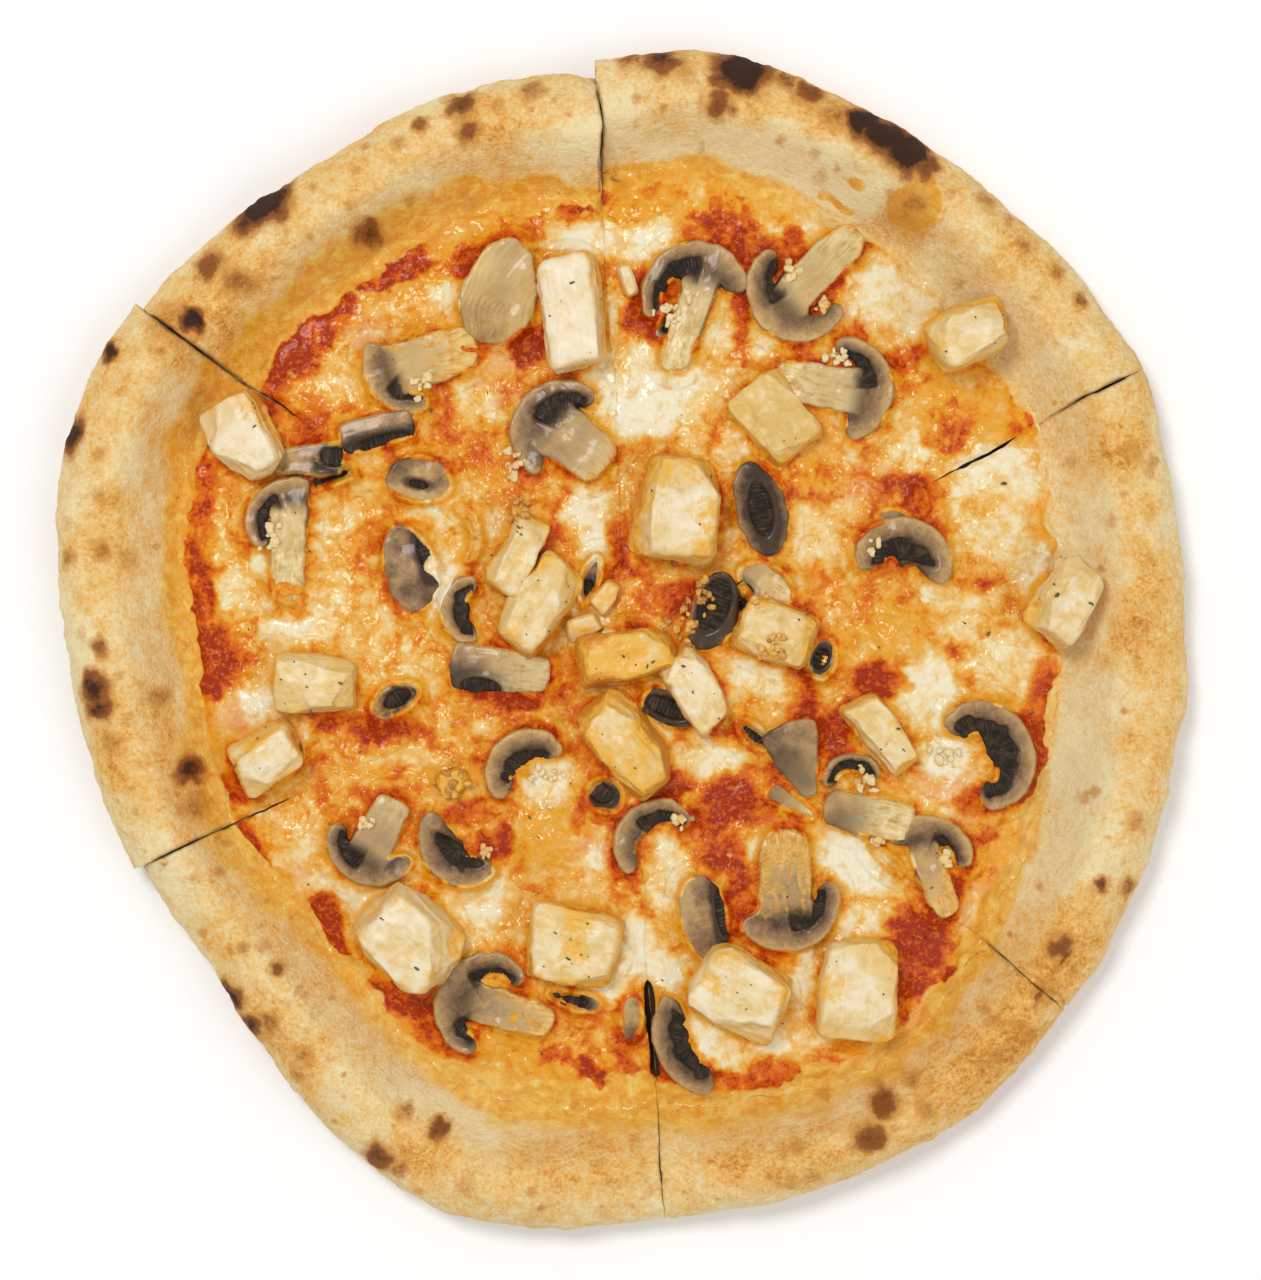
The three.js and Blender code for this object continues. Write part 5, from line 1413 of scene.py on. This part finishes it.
def mushroom(row, seed, base, thickness=MUSHROOM_THICKNESS):
    """A slice of mushroom with its underside at base: points, faces, sizes and attributes."""
    outline = row["outline"]
    random = np.random.default_rng(seed)

    def distance(u, v):
        ragged = 0.42 * noise(u / 3 + seed, v / 3, seed=71) + 0.12 * noise(u / 0.9 + seed, v / 0.9, seed=76)
        return outline_distance(u, v, outline) + MUSHROOM_GROWN + ragged

    low, high = outline.min(0) - 1.5, outline.max(0) + 1.5
    u, v, quads, triangles = snapped_grid(low[0], low[1], high[0], high[1], MUSHROOM_STEP, distance)
    d = np.maximum(distance(u, v), 0)

    depth = 0.26 + 0.3 * fbm(u / 6 + seed, v / 6, octaves=2, seed=84) - 0.16 * np.tanh(v / 4)
    gill, stem = np.zeros(u.shape), row.get("stem", 0.0) * (1 + np.tanh(u / 7))
    skin, stained = 0.4 * ramp(d, 1.0, 0), 1 + 0 * u
    lengthwise = np.stack([v, 0.14 * u], -1)
    a, spokes, ridge_count = np.arctan2(u, v + 1e-4), lengthwise, 9
    if row["kind"] == "cap":
        r, dome = row["r"], row.get("dome", 0.86) * row["r"]
        a, q = np.arctan2(u / r, v / dome), np.hypot(u / r, v / dome)
        thick = np.array([flesh(row, value) / r for value in a])
        depth = np.clip((1 - q) / np.maximum(thick, 0.05), 0, 1.05)
        skin = 0.8 * ramp((1 - q) * r, 0.4, -0.4)
        shows = np.zeros(u.shape)
        for start, end in row["black"]:
            turned = np.degrees(a)
            shows = np.maximum(shows, ramp(turned, start - 6, start + 6) * ramp(turned, end + 6, end - 6))
        band = row.get("band", 0.5)
        begins = depth + 0.12 * noise(u / 2.2, v / 2.2 + seed, seed=79)
        gill = ramp(begins, band - 0.06, band + 0.14) * shows
        stem, stained = np.zeros(u.shape), np.full(u.shape, 0.6)
        if row.get("stem"):
            half, lean = row["stem_width"] / 2, math.radians(row.get("lean", 0))
            beside = u * math.cos(lean) + v * math.sin(lean) + 0.7 * noise(u / 3 + seed, v / 3, seed=88)
            below = u * math.sin(lean) - v * math.cos(lean)
            in_stem = ramp(np.abs(beside), half + 1.3, half + 0.1) * ramp(below, -0.55 * dome, 0.05 * dome)
            stem = in_stem * (row["pith"] - 0.2 + 0.45 * ramp(below, 0.2 * row["stem"], 0.9 * row["stem"]))
            stem, gill = np.clip(stem, 0, 1), gill * (1 - in_stem)
            lengthwise = np.stack([beside, 0.14 * below], -1)
            streaks = noise(beside / 1.3 + seed, below / 9, seed=89)
            depth = depth * (1 - in_stem) + (0.17 + 0.1 * streaks) * in_stem
            stained = 0.4 + in_stem * (0.1 + 0.85 * ramp(below, 0, row["stem"]) + 0.5 * streaks)
        depth = depth * (0.6 + 0.4 * shows)
        spokes, ridge_count = np.stack([a * r * 1.1, 0.13 * q * r], -1), 2 * math.pi * r * 0.72 / 1.05
    elif row.get("gills"):
        cu, cv, ru, rv = row["gills"]
        half_long = row["long"] / 2
        half_wide = np.max(row["wide"]) / 2
        du, dv = u / half_long - cu, v / half_wide - cv
        within = np.hypot(du / ru, dv / rv)
        gill, depth = ramp(within, 1.12, 0.8), depth - 0.08 + 0.55 * ramp(within, 2.1, 1.0)
        stem = stem * (1 - gill)
        spokes, ridge_count = np.stack([u, 0.13 * v], -1), 0
    if row.get("disc"):
        rings = np.hypot(u + 4, v + 26)
        lengthwise = np.stack([rings * 0.9, np.arctan2(v, u)], -1)
        lines = np.sin(rings * 4.2 + 6 * noise(u / 6, v / 6, seed=86)) * (0.5 + noise(u / 4, v / 4, seed=87))
        depth = 0.14 + 0.07 * lines + 0.22 * noise(u / 7, v / 7, seed=77)

    curl = 0.5 * noise(u / 9 + seed, v / 9, seed=72) + 0.22 * noise(u / 3.5, v / 3.5 + seed, seed=73)
    tilt = random.uniform(-0.05, 0.05, 2)
    edge = np.clip(d / EDGE_ROUNDING, 0, 1)
    z = thickness - EDGE_ROUNDING * (1 - np.sqrt(1 - (1 - edge) ** 2)) + curl + tilt[0] * u + tilt[1] * v
    ridges = np.sin(u * 5.6)
    if ridge_count:
        ridges = np.sin(a * ridge_count + 1.5 * noise(u / 1.5, v / 1.5, seed=78))
    z += gill * (0.16 * ridges - 1.0) + 0.35 * stem * smooth(d / 2.5)
    fibres = fbm(lengthwise[..., 0] / 0.9, lengthwise[..., 1] / 0.9, octaves=2, seed=74)
    z += 0.07 * fibres * (0.5 + 0.5 * stem)

    turn = math.radians(row["turn"])
    x = row["x"] + u * math.cos(turn) - v * math.sin(turn)
    y = row["y"] + u * math.sin(turn) + v * math.cos(turn)
    points = np.stack([x, y, base + np.maximum(z, THINNEST)], -1)
    points, faces, sizes, rim = closed_from_top(points, quads, triangles, base)
    grain = np.where((stem > 0.45)[:, None], lengthwise, np.stack([u, v], -1))
    grain = lengthwise if row.get("disc") else np.where((gill > 0.4)[:, None], spokes, grain)
    grain = np.hstack([grain, np.full((len(u), 1), float(seed))]) * MM
    tone = row["tone"] + random.uniform(-0.08, 0.08) + 0.22 * noise(u / 6, v / 6 + seed, seed=75)
    values = {
        "depth": depth,
        "gill": gill,
        "stem": stem,
        "skin": skin * (1 - stem),
        "tone": np.clip(tone, 0, 1),
        "stain": row.get("stain", 0.08) * stained + (0.25 + 0.3 * stem) * ramp(d, 2.0, 0),
    }
    attributes = {key: np.concatenate([value, value[rim]]) for key, value in values.items()}
    attributes["grain"] = np.vstack([grain, grain[rim]])
    return points, faces, sizes, attributes


# ---- Chicken ----

CHUNK_STEPS, BIT_STEPS = 34, 16  # squares along each edge of a chunk or scrap
CHICKEN_GROWN = 1.07  # makes up for what the dents take off
SQUARENESS = 8.0  # 2 would be a ball
FACETS = 7  # flat faces that are cut off at random


def chicken(row, seed, bottom, steps=CHUNK_STEPS):
    """A chunk of chicken whose lowest point is at bottom: points, faces, sizes and attributes."""
    cube, quads = cube_grid(steps)
    random = np.random.default_rng(seed)
    p = cube / (np.abs(cube) ** SQUARENESS).sum(1, keepdims=True) ** (1 / SQUARENESS)
    for _ in range(FACETS):
        normal = random.normal(size=3) * [1, 1, 0.6]
        normal /= np.linalg.norm(normal)
        beyond = p @ normal - random.uniform(0.98, 1.2)
        p = p - normal * np.where(beyond > 0, beyond, 0)[:, None]
    # side is 1 on a chunk's sides and 0 on its top and bottom; the finish paints the sides darker and
    # yellower, as painted shade
    side = 1 - smooth((np.abs(p[:, 2]) - 0.8) / 0.16)
    half = np.array([row["long"], row["wide"], row["high"]]) * CHICKEN_GROWN / 2
    shrink = 1 - row["top"] * (p[:, 2:] + 1) / 2
    body = p * half * np.hstack([shrink, shrink, np.ones_like(shrink)])
    body[:, 1] *= 1 - row["narrow"] * (p[:, 0] + 1) / 2
    for sx in (-1, 1):
        for sy in (-1, 1):
            body[:, 0] += skew_of(row, sx, sy) * (1 + sx * p[:, 0]) * (1 + sy * p[:, 1]) / 4

    bx, by, bz = body.T
    out = p / np.linalg.norm(p, axis=1, keepdims=True)
    fibre = fbm(bx / 7 + seed, by / 1.4, bz / 1.4, octaves=3, seed=81)
    dents = fbm(bx / 7, by / 7 + seed, bz / 7, octaves=3, seed=82)
    steps_in = np.abs(noise(bx / 9 + seed, by / 7, bz / 5, seed=83))
    body = body + out * (0.3 * fibre + 1.15 * dents - 1.0 * steps_in + 0.35)[:, None]

    stain = row["stain"] + 0.14 + 0.5 * ramp(p[:, 2], 0.6, -0.7)
    stain += 0.3 * noise(bx / 8 + seed, by / 8, bz / 8, seed=84)
    stain += 0.2 * ramp(np.max(np.abs(p[:, :2]), axis=1), 0.8, 1.0) + 0.25 * ramp(steps_in, 0.35, 0.7)
    tipped = Matrix.Rotation(math.radians(row["tip"]), 3, "X")
    placed = body @ np.array(Matrix.Rotation(math.radians(row["turn"]), 3, "Z") @ tipped).T
    placed += [row["x"], row["y"], bottom - placed[:, 2].min()]
    attributes = {
        "stain": stain,
        "side": side,
        "pale": 1.3 * row["pale"] - 0.2 + 0.24 * noise(bx / 10, by / 10 + seed, bz / 10, seed=85),
        "grain": (body * [0.12, 1.0, 1.0] + seed) * MM,
    }
    return placed, quads.ravel(), [4] * len(quads), attributes


# ---- Crumbs, herbs and pepper ----

# Clusters of little crumbs beside the gills and of browned curds: x, y, spread, how many, how golden
CLUSTERS = (
    (13, 88.5, 4.2, 18, 0.2), (46, 99, 2.4, 8, 0.4), (53, 90, 2.8, 9, 0.5), (58, 76, 3.4, 12, 0.1),
    (-54, 69, 3.2, 13, 0.25), (-95, 27, 2.8, 9, 0.15), (-29, 48, 3.2, 14, 0.3), (17, 3, 4.2, 18, 0.8),
    (66, -37, 3.4, 12, 0.3), (41, -1, 4.5, 16, 0.8), (22, 12, 4, 12, 0.9), (15, -49, 2.2, 7, 0.4),
    (69, -54, 1.6, 4, 0.3), (88, -59, 2.2, 6, 0.3), (-37, -57, 2, 6, 0.5), (-46, -38, 4, 15, 0.85),
    (87.5, -31, 4, 14, 0.15), (-20, -38, 5.5, 12, 0.1), (-69, -50, 3, 8, 0.3), (37, 11, 3, 7, 0.6),
    (67, 24, 2.6, 6, 0.2), (-27.5, 35, 3, 8, 0.8),
)
HERBS, PEPPERS = 34, 120
ON_CHICKEN = 0.62  # the share of herbs and pepper that lies on chicken
STREWN_REACH = 118  # how far out the rest lies
MAP_CELL, MAP_REACH = 0.5, 170  # of the map of heights that they are put down on


def tops(meshes):
    """The height of the highest point in each little square of the pizza."""
    count = int(2 * MAP_REACH / MAP_CELL)
    heights = np.zeros((count, count))
    for made in meshes:
        co = np.empty(3 * len(made.data.vertices), np.float32)
        made.data.vertices.foreach_get("co", co)
        x, y, z = co.reshape(-1, 3).T / MM
        i, j = ((x + MAP_REACH) / MAP_CELL).astype(int), ((y + MAP_REACH) / MAP_CELL).astype(int)
        np.maximum.at(heights, (i, j), z)
    return heights


def top_at(heights, x, y):
    i, j = int((x + MAP_REACH) / MAP_CELL), int((y + MAP_REACH) / MAP_CELL)
    return heights[i - 1 : i + 2, j - 1 : j + 2].max()


def pebble(x, y, z, size, squash, seed):
    """A small uneven lump."""
    cube, quads = cube_grid(4)
    ball = cube / np.linalg.norm(cube, axis=1, keepdims=True)
    rough = 1 + 0.5 * noise(ball[:, 0] * 1.5 + seed, ball[:, 1] * 1.3, ball[:, 2] * 1.3, seed=91)
    return ball * rough[:, None] * size * squash + [x, y, z], quads.ravel(), [4] * len(quads), {}


FLAKE_CORNERS = 7


def flake(x, y, z, long, wide, turn, random):
    """A thin leaf or grain, a little curled."""
    n, k = FLAKE_CORNERS, np.arange(FLAKE_CORNERS)
    a = k * 2 * math.pi / n
    u, v = long / 2 * np.cos(a), wide / 2 * np.sin(a) * random.uniform(0.6, 1.2, n)
    c, s = math.cos(turn), math.sin(turn)
    rim = np.stack([x + u * c - v * s, y + u * s + v * c, z + random.uniform(-0.05, 0.25, n)], -1)
    points = np.vstack([rim + [0, 0, 0.14], rim, [[x, y, z + 0.26], [x, y, z - 0.1]]])
    after = (k + 1) % n
    faces = np.concatenate([
        np.stack([k, after, np.full(n, 2 * n)], 1),
        np.stack([after + n, k + n, np.full(n, 2 * n + 1)], 1),
        np.stack([k, k + n, after], 1),
        np.stack([after, k + n, after + n], 1),
    ])
    return points, faces.ravel(), [3] * len(faces), {}


def strew(heights):
    random = np.random.default_rng(31)
    crumbs = []
    for x, y, spread, count, golden in CLUSTERS:
        for _ in range(count):
            px, py = x + random.normal(0, spread / 2), y + random.normal(0, spread / 2)
            size = random.uniform(0.5, 1.25)
            z = top_at(heights, px, py) + 0.1 * size
            squash = random.uniform(0.7, 1.2, 3) * [1, 1, 0.8]
            crumb = pebble(px, py, z, size, squash, random.uniform(0, 99))
            crumb[3]["tone"] = np.full(len(crumb[0]), golden + random.uniform(-0.15, 0.15))
            crumbs.append(crumb)
    stands_for(mesh("toasted_crumbs", *joined(crumbs), (CRUMBS,)), "mushroom")

    herbs, peppers = [], []
    while len(herbs) + len(peppers) < HERBS + PEPPERS:
        if random.random() < ON_CHICKEN:
            row = DICED[random.integers(len(DICED))]
            x, y = row["x"] + random.uniform(-9, 9), row["y"] + random.uniform(-9, 9)
        else:
            r, a = STREWN_REACH * math.sqrt(random.random()), random.uniform(0, 2 * math.pi)
            x, y = r * math.cos(a), r * math.sin(a)
        z, turn = top_at(heights, x, y), random.uniform(0, math.pi)
        if len(herbs) < HERBS:
            long = random.uniform(0.7, 1.8)
            herbs.append(flake(x, y, z, long, long * random.uniform(0.3, 0.6), turn, random))
        else:
            long = random.uniform(0.28, 0.7)
            peppers.append(flake(x, y, z, long, long * random.uniform(0.6, 1.0), turn, random))
    stands_for(mesh("herb_flakes", *joined(herbs), (HERB,)), "cheese")
    stands_for(mesh("pepper_grains", *joined(peppers), (PEPPER,)), "cheese")


# ---- Building ----

SLICE_SUNK, CHUNK_SUNK = 0.3, 0.5  # below the solids' undersides, into the cheese
SCRAP_THICKNESS, SCRAP_SUNK = 3.0, 1.4
BIT_SUNK = 0.35  # of its height

for number in range(len(SLICES)):
    crust(number)
    cheese(number)
for number, row in enumerate(SLICED):
    node = f"mushroom_{number + 1:02d}"
    shape = mushroom(row, 100 + number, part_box(node)[0].z / MM - SLICE_SUNK)
    stands_for(mesh(f"sliced_{node}", *shape, (MUSHROOM,)), "mushroom", node)
for number, row in enumerate(DICED):
    node = f"chicken_{number + 1:02d}"
    shape = chicken(row, 200 + number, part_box(node)[0].z / MM - CHUNK_SUNK)
    stands_for(mesh(f"diced_{node}", *shape, (CHICKEN,)), "chicken", node)

scraps = []
for number, row in enumerate(TORN):
    base = cheese_height(row["x"], row["y"]) - SCRAP_SUNK
    scraps.append(mushroom(row, 300 + number, base, SCRAP_THICKNESS))
stands_for(mesh("mushroom_scraps", *joined(scraps), (MUSHROOM,)), "mushroom")
scraps = []
for number, row in enumerate(BITS):
    base = cheese_height(row["x"], row["y"]) - BIT_SUNK * row["high"]
    scraps.append(chicken(row, 400 + number, base, BIT_STEPS))
stands_for(mesh("chicken_scraps", *joined(scraps), (CHICKEN,)), "chicken")
strew(tops(PIECES))

# ---- Floor, light and camera ----

PHOTO_WIDTH, PHOTO_HEIGHT = 1261, 1280
PHOTO_SCALE = 0.27  # millimetres a pixel
PHOTO_ORIGIN_X = 622  # the pixel column over the row frame's origin
LENS, SENSOR = 100.0, 36.0
WIDEST_HEIGHT = 9.0  # where the rim is widest, which sets the outline seen from above
FLOOR_EDGE = 3.0  # metres
FLOOR_DROP = 0.0002  # metres, so that the underside and the floor don't lie in one plane

floor_mesh = bpy.data.meshes.new("floor")
corners = [(sx * FLOOR_EDGE, sy * FLOOR_EDGE, 0) for sx, sy in ((-1, -1), (1, -1), (1, 1), (-1, 1))]
floor_mesh.from_pydata(corners, [], [(0, 1, 2, 3)])
floor = added("floor", floor_mesh)
floor.location.z = -FLOOR_DROP
floor_finish = Finish("pale_floor", Specular_IOR_Level=0.1)
floor_mesh.materials.append(floor_finish.done((0.93, 0.93, 0.93, 1), 0.7))


def lamp(name, place, size, power):
    """A round lamp that looks at the pizza. Its place and size are in metres, its power in watts."""
    light = bpy.data.lights.new(name, "AREA")
    light.shape = "DISK"
    light.size = size
    light.energy = power
    made = added(name, light)
    made.location = place
    made.rotation_euler = (-Vector(place)).to_track_quat("-Z", "Y").to_euler()


lamp("key", (-0.36, 0.42, 1.32), 0.42, 9)
lamp("fill", (0.8, -0.55, 1.2), 1.2, 5.5)

world = bpy.data.worlds.new("studio")
world.use_nodes = True
background = world.node_tree.nodes["Background"]
background.inputs["Color"].default_value = (1, 1, 1, 1)
background.inputs["Strength"].default_value = 0.55
bpy.context.scene.world = world
bpy.context.scene.view_settings.view_transform = "Standard"

camera_data = bpy.data.cameras.new("camera")
camera_data.lens = LENS
camera_data.sensor_width = SENSOR
camera = added("camera", camera_data)
away = PHOTO_HEIGHT * PHOTO_SCALE * LENS / SENSOR
to_the_side = (PHOTO_WIDTH / 2 - PHOTO_ORIGIN_X) * PHOTO_SCALE
camera.location = (to_the_side * MM, 0, (away + WIDEST_HEIGHT) * MM)
bpy.context.scene.camera = camera
